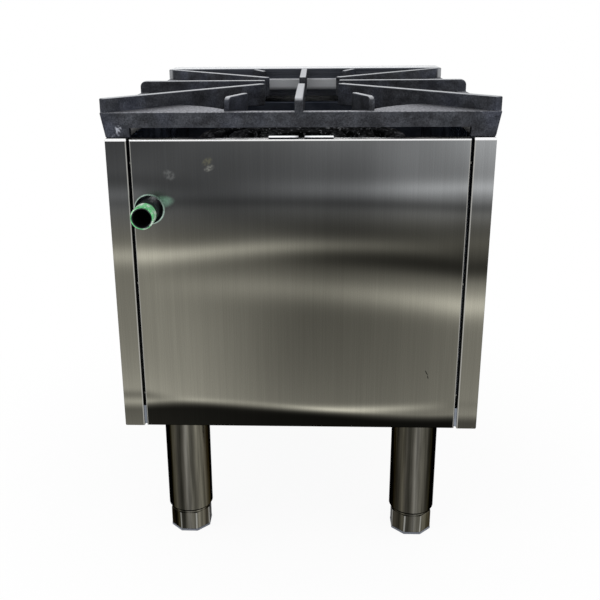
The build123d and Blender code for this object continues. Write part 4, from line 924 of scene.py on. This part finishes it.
@dataclass(frozen=True)
class Palette:
    """The range's finishes."""

    rear_steel: Finish = BowedStainless(
        "brushed_stainless_rear", "8b8c8e", marks=REAR_WEAR_AND_PAINTED_LIGHT, edge=199.1 * MM, edge_width=1.2 * MM
    )
    side_steel: Finish = BowedStainless(
        "brushed_stainless_side", "8f8f8d", band_share=0.85, foot_reflected_shade_stops=-1.9, flange_stops=0.25
    )
    front_steel: Finish = BrushedStainless("brushed_stainless_front", "94949a", grain=Grain.ACROSS)
    ledge_steel: Finish = OpenSheet(
        "brushed_stainless_ledge", "c6c8cb", upright_shade_colour="585b63", front_painted_light_share=0.45
    )
    painted_lit_zinc: Finish = OpenSheet(
        "painted_lit_zinc_tab", "f4f6fa", upright_shade_colour="17181b", bright_from=0.27, roughness=0.35
    )
    zinc: Finish = ZincSheet("galvanised_sheet", "8d939c")
    grate_iron: Finish = CastIron("cast_iron_grate", "47494e", scuffs=FOOT_SCUFFS)
    burner_iron: Finish = CastIron(
        "cast_iron_burner", "1e1e1f", dark_colour="0b0b0b", blue_colour="1b1c1e", top_colour="77787b",
        web_reflection_colour="77787b", lit_shares=(0.0, 0.0), top_share=0.04, grit=3.5 * MM, fleck_share=0.85,
        edge_glint=0.0,
    )
    leg_tube: Finish = PolishedTube("polished_tube", "a39f90")
    foot_steel: Finish = PolishedTube(
        "polished_foot", "a39f90", roughness=0.26, shaded_share=0.1, corner_highlight_share=0.35
    )
    pipe: Finish = SteelPipe("black_pipe", "3f4246")
    brass: Finish = MachinedMetal("turned_brass", "c9a75f")
    plated: Finish = MachinedMetal("zinc_plated_steel", "a9a9a2", roughness=0.35)
    aluminium: Finish = MachinedMetal("drawn_aluminium", "c0c2c4")
    bezel: Finish = MachinedMetal("polished_dial_plate", "b9b9ba", roughness=0.2)
    knob: Finish = MouldedPlastic("black_phenolic", "17171a", roughness=0.3)
    mark: Finish = MouldedPlastic("white_paint_filled_mark", "e8e6df", roughness=0.5)
    tick: Finish = MouldedPlastic("black_dial_paint", "101010", roughness=0.45)
    pad: Finish = MouldedPlastic("grey_foot_plastic", "6d727c", roughness=0.5)
    tape: Finish = ThreadTapeFilm("green_thread_tape", "74dc90")


NODE_FINISHES: dict[str, tuple[str, ...]] = {
    "rear_steel": ("rear_panel",),
    "side_steel": ("side_panel_left", "side_panel_right"),
    "front_steel": ("control_panel", "lower_front_panel", "crumb_tray_front", "crumb_tray_pull"),
    "ledge_steel": ("landing_ledge",),
    "painted_lit_zinc": ("burner_bracket_rear",),
    "zinc": (
        "rear_upright_left", "rear_upright_right", "base_rail_front", "base_rail_rear", "crumb_tray",
        "tray_runner_left", "tray_runner_right", "side_liner_left", "side_liner_right", "front_heat_shield",
        "burner_bar_front", "burner_bar_middle", "manifold_hangers", "pilot_burner", "air_shutter_outer",
        "air_shutter_inner",
    ),
    "grate_iron": ("grate",),
    "burner_iron": ("burner_outer", "burner_inner"),
    "leg_tube": tuple("leg_" + name for name in LEG_NAMES),
    "foot_steel": tuple("foot_" + name for name in LEG_NAMES),
    "pipe": ("supply_pipe", "manifold_pipe", "manifold_cap", "pipe_elbow"),
    "brass": ("gas_valve_outer", "gas_valve_inner", "orifice_spuds", "pilot_valve"),
    "plated": (
        "rear_panel_screws", "front_panel_screws", "leg_plate_bolts", "leg_inserts", "valve_stem_outer",
        "valve_stem_inner",
    ),
    "aluminium": ("pilot_tube",),
    "bezel": ("knob_bezel_outer", "knob_bezel_inner"),
    "knob": ("knob_outer", "knob_inner"),
    "pad": tuple("foot_pad_" + name for name in LEG_NAMES),
    "tape": ("thread_tape",),
}


def give_finish(thing: bpy.types.Object, finish: Finish) -> None:
    """Give a whole piece one finish.

    Args:
        thing: The piece or CAD node.
        finish: Its finish.
    """
    thing.data.materials.clear()
    thing.data.materials.append(finish.build())


# ------------------------------------------------------------------ making pieces
def new_piece(name: str, mesh: bpy.types.Mesh, finish: Finish, body: str) -> bpy.types.Object:
    """Put a mesh in the scene as a piece of the object.

    Args:
        name: The piece's name.
        mesh: Its mesh, in its place.
        finish: Its finish.
        body: The CAD body it rides on.

    Returns:
        The piece.
    """
    piece = bpy.data.objects.new(name, mesh)
    bpy.context.scene.collection.objects.link(piece)
    give_finish(piece, finish)
    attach(piece, body)
    LOG.info("piece %s: %d faces on %s", name, len(mesh.polygons), body)
    return piece


@dataclass
class SoftEdges:
    """Rounds the edges of a copy of a CAD node, as a casting's, moulding's or forging's are."""

    width: float
    segments: int = 2
    merge: float = 0.002 * MM
    flat_angle: float = math.radians(0.8)
    edge_angle: float = math.radians(35)

    def mesh_of(self, node: bpy.types.Object) -> bpy.types.Mesh:
        """Merged and rounded copy of a node's mesh.

        Args:
            node: The CAD node.

        Returns:
            A new mesh with rounded edges and smooth shading across them.
        """
        shape = bmesh.new()
        shape.from_mesh(node.data)
        bmesh.ops.remove_doubles(shape, verts=shape.verts, dist=self.merge)
        bmesh.ops.dissolve_limit(
            shape, angle_limit=self.flat_angle, verts=shape.verts, edges=shape.edges,
            use_dissolve_boundaries=False,
        )
        plain = bpy.data.meshes.new(node.name + "_rounded")
        shape.to_mesh(plain)
        shape.free()
        holder = bpy.data.objects.new(node.name + "_holder", plain)
        bpy.context.scene.collection.objects.link(holder)
        rounding = holder.modifiers.new("edges", "BEVEL")
        rounding.width = self.width
        rounding.segments = self.segments
        rounding.limit_method = "ANGLE"
        rounding.angle_limit = self.edge_angle
        rounding.use_clamp_overlap = True
        rounding.harden_normals = True
        made = baked(holder)
        made.name = node.name + "_rounded"
        return made


def baked(holder: bpy.types.Object) -> bpy.types.Mesh:
    """Mesh of an object with its modifiers applied; the object is removed.

    Args:
        holder: An object with live modifiers.

    Returns:
        The finished mesh.
    """
    bpy.context.view_layer.update()
    graph = bpy.context.evaluated_depsgraph_get()
    made = bpy.data.meshes.new_from_object(holder.evaluated_get(graph), depsgraph=graph)
    old = holder.data
    bpy.data.objects.remove(holder)
    if old is not None and old.users == 0:
        bpy.data.meshes.remove(old)
    return made


class Pattern:
    """A Geometry Nodes tree with named inputs, which makes one repeated thing."""

    def __init__(self, name: str) -> None:
        """Start an empty tree.

        Args:
            name: The tree's name.
        """
        self.tree = bpy.data.node_groups.new(name, "GeometryNodeTree")
        self.tree.interface.new_socket("Geometry", in_out="OUTPUT", socket_type="NodeSocketGeometry")
        self.source = self.tree.nodes.new("NodeGroupInput")
        self.sockets: dict[str, str] = {}

    def size(self, name: str, kind: str = "NodeSocketFloat") -> bpy.types.NodeSocket:
        """Add a named input.

        Args:
            name: Its name.
            kind: Blender's name of its socket type.

        Returns:
            Its socket inside the tree.
        """
        item = self.tree.interface.new_socket(name, in_out="INPUT", socket_type=kind)
        self.sockets[name] = item.identifier
        return self.source.outputs[name]

    def node(self, kind: str, inputs: dict[str | int, Any] | None = None, **settings: Any) -> bpy.types.Node:
        """Add a node to the tree."""
        return add_node(self.tree, kind, inputs, **settings)

    def close(self, geometry: bpy.types.NodeSocket, material: bpy.types.NodeSocket) -> None:
        """End the tree: instances made real, faces smooth, material set.

        Args:
            geometry: What the tree has made.
            material: The material's input.
        """
        real = self.node("GeometryNodeRealizeInstances", {0: geometry})
        smooth = self.node("GeometryNodeSetShadeSmooth", {0: real.outputs[0]})
        painted = self.node("GeometryNodeSetMaterial", {"Geometry": smooth.outputs[0], "Material": material})
        self.node("NodeGroupOutput", {0: painted.outputs[0]})

    def make(self, name: str, values: dict[str, Any], place: Matrix) -> bpy.types.Mesh:
        """Run the tree and return its mesh.

        Args:
            name: The mesh's name.
            values: A value for each named input.
            place: Where the result goes.

        Returns:
            A plain mesh in its place.
        """
        holder = bpy.data.objects.new(name + "_holder", bpy.data.meshes.new(name + "_start"))
        bpy.context.scene.collection.objects.link(holder)
        run = holder.modifiers.new("pattern", "NODES")
        run.node_group = self.tree
        for key, value in values.items():
            run[self.sockets[key]] = value
        made = baked(holder)
        made.name = name
        made.transform(place)
        return made


def winding_pattern() -> Pattern:
    """A strip wound round a bar: tape on a thread.

    Returns:
        The pattern.
    """
    pattern = Pattern("wound_strip")
    radius = pattern.size("Radius")
    length = pattern.size("Length")
    turns = pattern.size("Turns")
    width = pattern.size("Strip Width")
    thickness = pattern.size("Strip Thickness")
    material = pattern.size("Material", "NodeSocketMaterial")
    spiral = pattern.node(
        "GeometryNodeCurveSpiral",
        {
            "Resolution": 40, "Rotations": turns, "Start Radius": radius, "End Radius": radius,
            "Height": length,
        },
    )
    upright = pattern.node("GeometryNodeSetCurveNormal", {0: spiral.outputs[0]}, mode="Z_UP")
    strip = pattern.node("GeometryNodeCurvePrimitiveQuadrilateral", {"Width": thickness, "Height": width})
    solid = pattern.node(
        "GeometryNodeCurveToMesh",
        {"Curve": upright.outputs[0], "Profile Curve": strip.outputs[0], "Fill Caps": True},
    )
    pattern.close(solid.outputs[0], material)
    return pattern


def ring_pattern() -> Pattern:
    """Equal rings in a row: folds of tape.

    Returns:
        The pattern.
    """
    pattern = Pattern("ring_row")
    radius = pattern.size("Radius")
    pitch = pattern.size("Pitch")
    count = pattern.size("Count", "NodeSocketInt")
    thickness = pattern.size("Ring Thickness")
    material = pattern.size("Material", "NodeSocketMaterial")
    circle = pattern.node("GeometryNodeCurvePrimitiveCircle", {"Resolution": 64, "Radius": radius})
    profile = pattern.node("GeometryNodeCurvePrimitiveCircle", {"Resolution": 6, "Radius": thickness})
    ring = pattern.node(
        "GeometryNodeCurveToMesh", {"Curve": circle.outputs[0], "Profile Curve": profile.outputs[0]}
    )
    step = pattern.node("ShaderNodeCombineXYZ", {"Z": pitch})
    row = pattern.node("GeometryNodeMeshLine", {"Count": count, "Offset": step.outputs[0]})
    rings = pattern.node(
        "GeometryNodeInstanceOnPoints", {"Points": row.outputs[0], "Instance": ring.outputs[0]}
    )
    pattern.close(rings.outputs[0], material)
    return pattern


def bead_pattern() -> Pattern:
    """Beads of slightly different sizes round a circle: a weld with its ripples.

    Returns:
        The pattern.
    """
    pattern = Pattern("weld_beads")
    radius = pattern.size("Radius")
    count = pattern.size("Count", "NodeSocketInt")
    size = pattern.size("Bead Size")
    material = pattern.size("Material", "NodeSocketMaterial")
    circle = pattern.node("GeometryNodeMeshCircle", {"Vertices": count, "Radius": radius})
    bead = pattern.node("GeometryNodeMeshUVSphere", {"Segments": 10, "Rings": 6, "Radius": size})
    smallest, largest = BEAD_SIZES
    share = pattern.node(
        "FunctionNodeRandomValue", {2: smallest, 3: largest, "Seed": BEAD_SEED}, data_type="FLOAT"
    )
    beads = pattern.node(
        "GeometryNodeInstanceOnPoints",
        {"Points": circle.outputs[0], "Instance": bead.outputs[0], "Scale": share.outputs[1]},
    )
    pattern.close(beads.outputs[0], material)
    return pattern


def tick_pattern() -> Pattern:
    """Short bars round part of a circle: the marks of a dial.

    Returns:
        The pattern.
    """
    pattern = Pattern("dial_ticks")
    radius = pattern.size("Radius")
    count = pattern.size("Count", "NodeSocketInt")
    start = pattern.size("Start Angle")
    sweep = pattern.size("Sweep Angle")
    bar = pattern.size("Tick Size", "NodeSocketVector")
    material = pattern.size("Material", "NodeSocketMaterial")
    arc = pattern.node(
        "GeometryNodeCurveArc",
        {"Resolution": count, "Radius": radius, "Start Angle": start, "Sweep Angle": sweep},
    )
    points = pattern.node("GeometryNodeCurveToPoints", {"Curve": arc.outputs[0]}, mode="EVALUATED")
    cube = pattern.node("GeometryNodeMeshCube", {"Size": bar})
    heading = pattern.node(
        "FunctionNodeAlignRotationToVector", {"Vector": points.outputs["Tangent"]}, axis="X"
    )
    ticks = pattern.node(
        "GeometryNodeInstanceOnPoints",
        {"Points": points.outputs[0], "Instance": cube.outputs[0], "Rotation": heading.outputs[0]},
    )
    pattern.close(ticks.outputs[0], material)
    return pattern


# ------------------------------------------------------------------ sub-assemblies
@dataclass
class SubAssembly:
    """A group of pieces that is made together."""

    frame: dict[str, Any]
    palette: Palette

    def node(self, name: str) -> bpy.types.Object:
        """The CAD node of that name."""
        return self.frame["nodes"][name]

    def rounded(self, name: str, body: str, slot: str, finish: Finish, edges: SoftEdges) -> None:
        """Replace a CAD node with a copy that has rounded edges.

        Args:
            name: The CAD node.
            body: The CAD body it rides on.
            slot: The record's material slot; not used.
            finish: Its finish.
            edges: How its edges are rounded.
        """
        piece = new_piece(name + "_rounded", edges.mesh_of(self.node(name)), finish, body)
        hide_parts(name)


@dataclass
class BodyShell(SubAssembly):
    """The carried-over sheet metal, pipes, burner parts and fasteners."""

    def build(self) -> None:
        """Dress every CAD node."""
        for finish_name, nodes in NODE_FINISHES.items():
            finish = getattr(self.palette, finish_name)
            for name in nodes:
                give_finish(self.node(name), finish)
                LOG.info("node %s: %s", name, finish.name)


@dataclass
class Controls(SubAssembly):
    """Knobs with a painted pointer, and dial marks on the plates behind them."""

    knob_edge: float = 0.7 * MM
    mark_width: float = 1.6 * MM
    mark_inset: float = 4.0 * MM
    mark_depth: float = 0.25 * MM
    mark_proud: float = 0.04 * MM
    tick_radius: float = 29.5 * MM
    tick_size: Triple = (0.8 * MM, 3.2 * MM, 0.2 * MM)
    tick_count: int = 4
    tick_sweep: float = math.radians(90)

    def build(self) -> None:
        """Make both knobs and both dials."""
        ticks = tick_pattern()
        for side in BURNER_SIDES:
            name = "knob_" + side
            self.rounded(name, name, "knob_black", self.palette.knob, SoftEdges(self.knob_edge))
            self.pointer(name)
            self.dial(ticks, side)

    def pointer(self, name: str) -> None:
        """White line let into the front of a knob's grip.

        Args:
            name: The knob's CAD node and body.
        """
        low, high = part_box(name)
        middle = (low + high) / 2
        length = (high.z - low.z) / 2 - self.mark_inset * 2
        front = low.y + self.mark_depth - self.mark_proud
        place = Matrix.Translation((middle.x, front, middle.z + self.mark_inset + length / 2))
        size = Matrix.Diagonal((self.mark_width, self.mark_depth * 2, length, 1.0))
        shape = bmesh.new()
        bmesh.ops.create_cube(shape, size=1.0, matrix=place @ size)
        bmesh.ops.bevel(shape, geom=shape.edges[:], offset=self.mark_depth / 2, segments=1, affect="EDGES")
        mesh = bpy.data.meshes.new(name + "_pointer")
        shape.to_mesh(mesh)
        shape.free()
        new_piece(name + "_pointer", mesh, self.palette.mark, name)

    def dial(self, ticks: Pattern, side: str) -> None:
        """Marks on the dial plate, from off at the top to low at the side.

        Args:
            ticks: The tick pattern.
            side: Which burner.
        """
        low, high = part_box("knob_bezel_" + side)
        middle = (low + high) / 2
        values = {
            "Radius": self.tick_radius, "Count": self.tick_count, "Start Angle": 0.0,
            "Sweep Angle": self.tick_sweep, "Tick Size": self.tick_size,
            "Material": self.palette.tick.build(),
        }
        place = Matrix.Translation((middle.x, low.y, middle.z)) @ Matrix.Rotation(math.radians(90), 4, "X")
        mesh = ticks.make("dial_ticks_" + side, values, place)
        new_piece("dial_ticks_" + side, mesh, self.palette.tick, CHASSIS)


@dataclass
class GasInlet(SubAssembly):
    """Thread tape wound on the inlet pipe, with its last turn folded over the pipe's end."""

    strip_width: float = 6.0 * MM
    strip_thickness: float = 0.5 * MM
    turns: float = 5.0
    lip_size: float = 0.5 * MM
    lip_inset: float = 1.15 * MM
    lip_pitch: float = 0.9 * MM
    lip_turns: int = 2

    def build(self) -> None:
        """Wind the tape and fold its lip."""
        low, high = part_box("thread_tape")
        middle = (low + high) / 2
        radius = (high.x - low.x) / 2
        winding = {
            "Radius": radius - self.strip_thickness / 2, "Length": high.y - low.y - self.strip_width,
            "Turns": self.turns, "Strip Width": self.strip_width, "Strip Thickness": self.strip_thickness,
        }
        start = Vector((middle.x, low.y + self.strip_width / 2, middle.z))
        self.tape("thread_tape_winding", winding_pattern(), winding, start)
        lip = {
            "Radius": radius - self.lip_inset, "Pitch": self.lip_pitch, "Count": self.lip_turns,
            "Ring Thickness": self.lip_size,
        }
        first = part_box("supply_pipe")[1].y - self.lip_size - self.lip_pitch
        self.tape("thread_tape_lip", ring_pattern(), lip, Vector((middle.x, first, middle.z)))

    def tape(self, name: str, pattern: Pattern, sizes: dict[str, Any], start: Vector) -> None:
        """Make one piece of tape that runs backwards along the pipe.

        Args:
            name: The piece's name.
            pattern: The pattern that makes it.
            sizes: The pattern's sizes.
            start: Where it starts on the pipe's axis.
        """
        finish = self.palette.tape
        place = Matrix.Translation(start) @ Matrix.Rotation(math.radians(-90), 4, "X")
        mesh = pattern.make(name, sizes | {"Material": finish.build()}, place)
        new_piece(name, mesh, finish, CHASSIS)


@dataclass
class Legs(SubAssembly):
    """Feet with softened corners, and the welds between the legs' tubes and plates."""

    foot_edge: float = 0.6 * MM
    weld_size: float = 1.7 * MM
    weld_count: int = 54
    tube_radius: float = 31.0 * MM
    plate_thickness: float = 3.0 * MM

    def build(self) -> None:
        """Round the feet and lay the welds."""
        beads = bead_pattern()
        for name in LEG_NAMES:
            foot = "foot_" + name
            self.rounded(foot, foot, "polished_leg", self.palette.foot_steel, SoftEdges(self.foot_edge))
            low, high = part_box("leg_" + name)
            joint = (low + high) / 2
            joint.z = high.z - self.plate_thickness
            values = {
                "Radius": self.tube_radius, "Count": self.weld_count, "Bead Size": self.weld_size,
                "Material": self.palette.plated.build(),
            }
            mesh = beads.make("leg_weld_" + name, values, Matrix.Translation(joint))
            new_piece("leg_weld_" + name, mesh, self.palette.plated, CHASSIS)


# ------------------------------------------------------------------ studio
class SoftBox(NamedTuple):
    """A square lamp: its place and side in metres, and its power in watts."""

    name: str
    place: Triple
    side: float
    power: float


SOFT_BOXES = (
    SoftBox("soft_box_left", (1.5, 1.1, 2.1), 1.6, 12.0),
    SoftBox("soft_box_right", (-1.6, 0.7, 2.0), 1.4, 8.0),
    SoftBox("soft_box_front", (0.3, -1.9, 1.9), 1.8, 10.0),
)


@dataclass
class Studio:
    """Plain pale floor, soft light and the photograph's camera.

    "Sky" is a grey for each height, from 0 straight below to 1 straight above.
    """

    camera_place: Triple = (-0.0189, 1.2698, 0.7048)
    yaw: float = math.radians(-2.5124)
    pitch: float = math.radians(18.6864)
    roll: float = math.radians(-0.5568)
    focal_pixels: float = 839.8
    frame_pixels: float = 600.0
    sensor: float = 36.0
    shift: Span = (0.0341, -0.0094)
    nearest: float = 0.05
    farthest: float = 100.0
    lamps_aim: Triple = (0.0, 0.0, 0.4)
    sky: tuple[Span, ...] = ((0.40, 0.60), (0.52, 0.74), (0.66, 0.86), (1.0, 0.80))
    floor_size: float = 30.0
    floor_drop: float = 0.15 * MM
    floor_tone: float = 0.86
    floor_bounce: float = 0.8
    shadow_share: float = 0.07
    shadow_reach: Span = (0.25, 0.75)

    def build(self) -> None:
        """Make the camera, the lights, the world and the floor."""
        self.camera()
        self.lamps()
        self.world()
        self.floor()
        bpy.context.scene.view_settings.view_transform = "Standard"

    def camera(self) -> None:
        """Camera where the photograph was taken from."""
        data = bpy.data.cameras.new("photo_camera")
        data.sensor_width = self.sensor
        data.lens = self.focal_pixels / self.frame_pixels * self.sensor
        data.shift_x, data.shift_y = self.shift
        data.clip_start = self.nearest
        data.clip_end = self.farthest
        flat = math.cos(self.pitch)
        forward = Vector((-math.sin(self.yaw) * flat, -math.cos(self.yaw) * flat, -math.sin(self.pitch)))
        level = Vector((-math.cos(self.yaw), math.sin(self.yaw), 0.0))
        above = level.cross(forward)
        right = level * math.cos(self.roll) + above * math.sin(self.roll)
        top = above * math.cos(self.roll) - level * math.sin(self.roll)
        turn = Matrix((right, top, -forward)).transposed().to_4x4()
        camera = bpy.data.objects.new("photo_camera", data)
        camera.matrix_world = Matrix.Translation(self.camera_place) @ turn
        bpy.context.scene.collection.objects.link(camera)
        bpy.context.scene.camera = camera

    def lamps(self) -> None:
        """Large soft boxes above: one on each side of the camera, and one over the range's front."""
        for box in SOFT_BOXES:
            data = bpy.data.lights.new(box.name, "AREA")
            data.energy = box.power
            data.size = box.side
            lamp = bpy.data.objects.new(box.name, data)
            lamp.location = box.place
            aim = Vector(self.lamps_aim) - Vector(box.place)
            lamp.rotation_euler = aim.to_track_quat("-Z", "Y").to_euler()
            bpy.context.scene.collection.objects.link(lamp)

    def world(self) -> None:
        """White to the camera; to the object a soft sky that is a little darker towards the ground."""
        world = bpy.data.worlds.new("studio")
        bpy.context.scene.world = world
        world.use_nodes = True
        tree = world.node_tree
        tree.nodes.clear()
        way = add_node(tree, "ShaderNodeTexCoord").outputs["Generated"]
        up = Field(tree, add_node(tree, "ShaderNodeSeparateXYZ", {0: way}).outputs["Z"])
        tones = (up * 0.5 + 0.5).ramp((height, grey(tone)) for height, tone in self.sky)
        soft = add_node(tree, "ShaderNodeBackground", {"Color": tones, "Strength": 1.0})
        white = add_node(tree, "ShaderNodeBackground", {"Color": grey(1.0), "Strength": 1.0})
        seen = add_node(tree, "ShaderNodeLightPath").outputs["Is Camera Ray"]
        chosen = add_node(tree, "ShaderNodeMixShader", {0: seen, 1: soft.outputs[0], 2: white.outputs[0]})
        add_node(tree, "ShaderNodeOutputWorld", {"Surface": chosen.outputs[0]})

    def floor(self) -> None:
        """Large level floor just under the feet."""
        half = self.floor_size / 2
        shape = bmesh.new()
        corners = [(-half, -half), (half, -half), (half, half), (-half, half)]
        shape.faces.new([shape.verts.new((x, y, -self.floor_drop)) for x, y in corners])
        mesh = bpy.data.meshes.new("floor")
        shape.to_mesh(mesh)
        shape.free()
        mesh.materials.append(self.paint())
        floor = bpy.data.objects.new("floor", mesh)
        bpy.context.scene.collection.objects.link(floor)

    def paint(self) -> bpy.types.Material:
        """The floor's paint: to the camera it keeps the object's soft shadow and fades to white.

        Returns:
            The material.
        """
        paint = bpy.data.materials.new("pale_floor")
        paint.use_nodes = True
        tree = paint.node_tree
        tree.nodes.clear()
        place = add_node(tree, "ShaderNodeTexCoord").outputs["Object"]
        away = add_node(tree, "ShaderNodeVectorMath", {0: place}, operation="LENGTH").outputs["Value"]
        fade = Field(tree, away).between(*self.shadow_reach, 1.0 - self.shadow_share, 1.0)
        near = add_node(tree, "ShaderNodeBsdfDiffuse", {"Color": grey(self.floor_tone)})
        white = add_node(tree, "ShaderNodeEmission", {"Color": grey(1.0), "Strength": 1.0})
        seen = add_node(tree, "ShaderNodeMixShader", {0: fade, 1: near.outputs[0], 2: white.outputs[0]})
        rays = add_node(tree, "ShaderNodeLightPath").outputs
        shown = Field(tree, rays["Is Glossy Ray"]).step("MAXIMUM", rays["Is Transmission Ray"])
        shown = shown.step("MAXIMUM", rays["Is Camera Ray"])
        soft = add_node(tree, "ShaderNodeBsdfDiffuse", {"Color": grey(self.floor_bounce)})
        chosen = add_node(tree, "ShaderNodeMixShader", {0: shown, 1: soft.outputs[0], 2: seen.outputs[0]})
        add_node(tree, "ShaderNodeOutputMaterial", {"Surface": chosen.outputs[0]})
        return paint


def main() -> None:
    """Build the range's looks and its studio."""
    logging.basicConfig(level=logging.INFO, format="%(name)s: %(message)s")
    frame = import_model()
    palette = Palette()
    BodyShell(frame, palette).build()
    Controls(frame, palette).build()
    GasInlet(frame, palette).build()
    Legs(frame, palette).build()
    Studio().build()


if __name__ == "__main__":
    main()
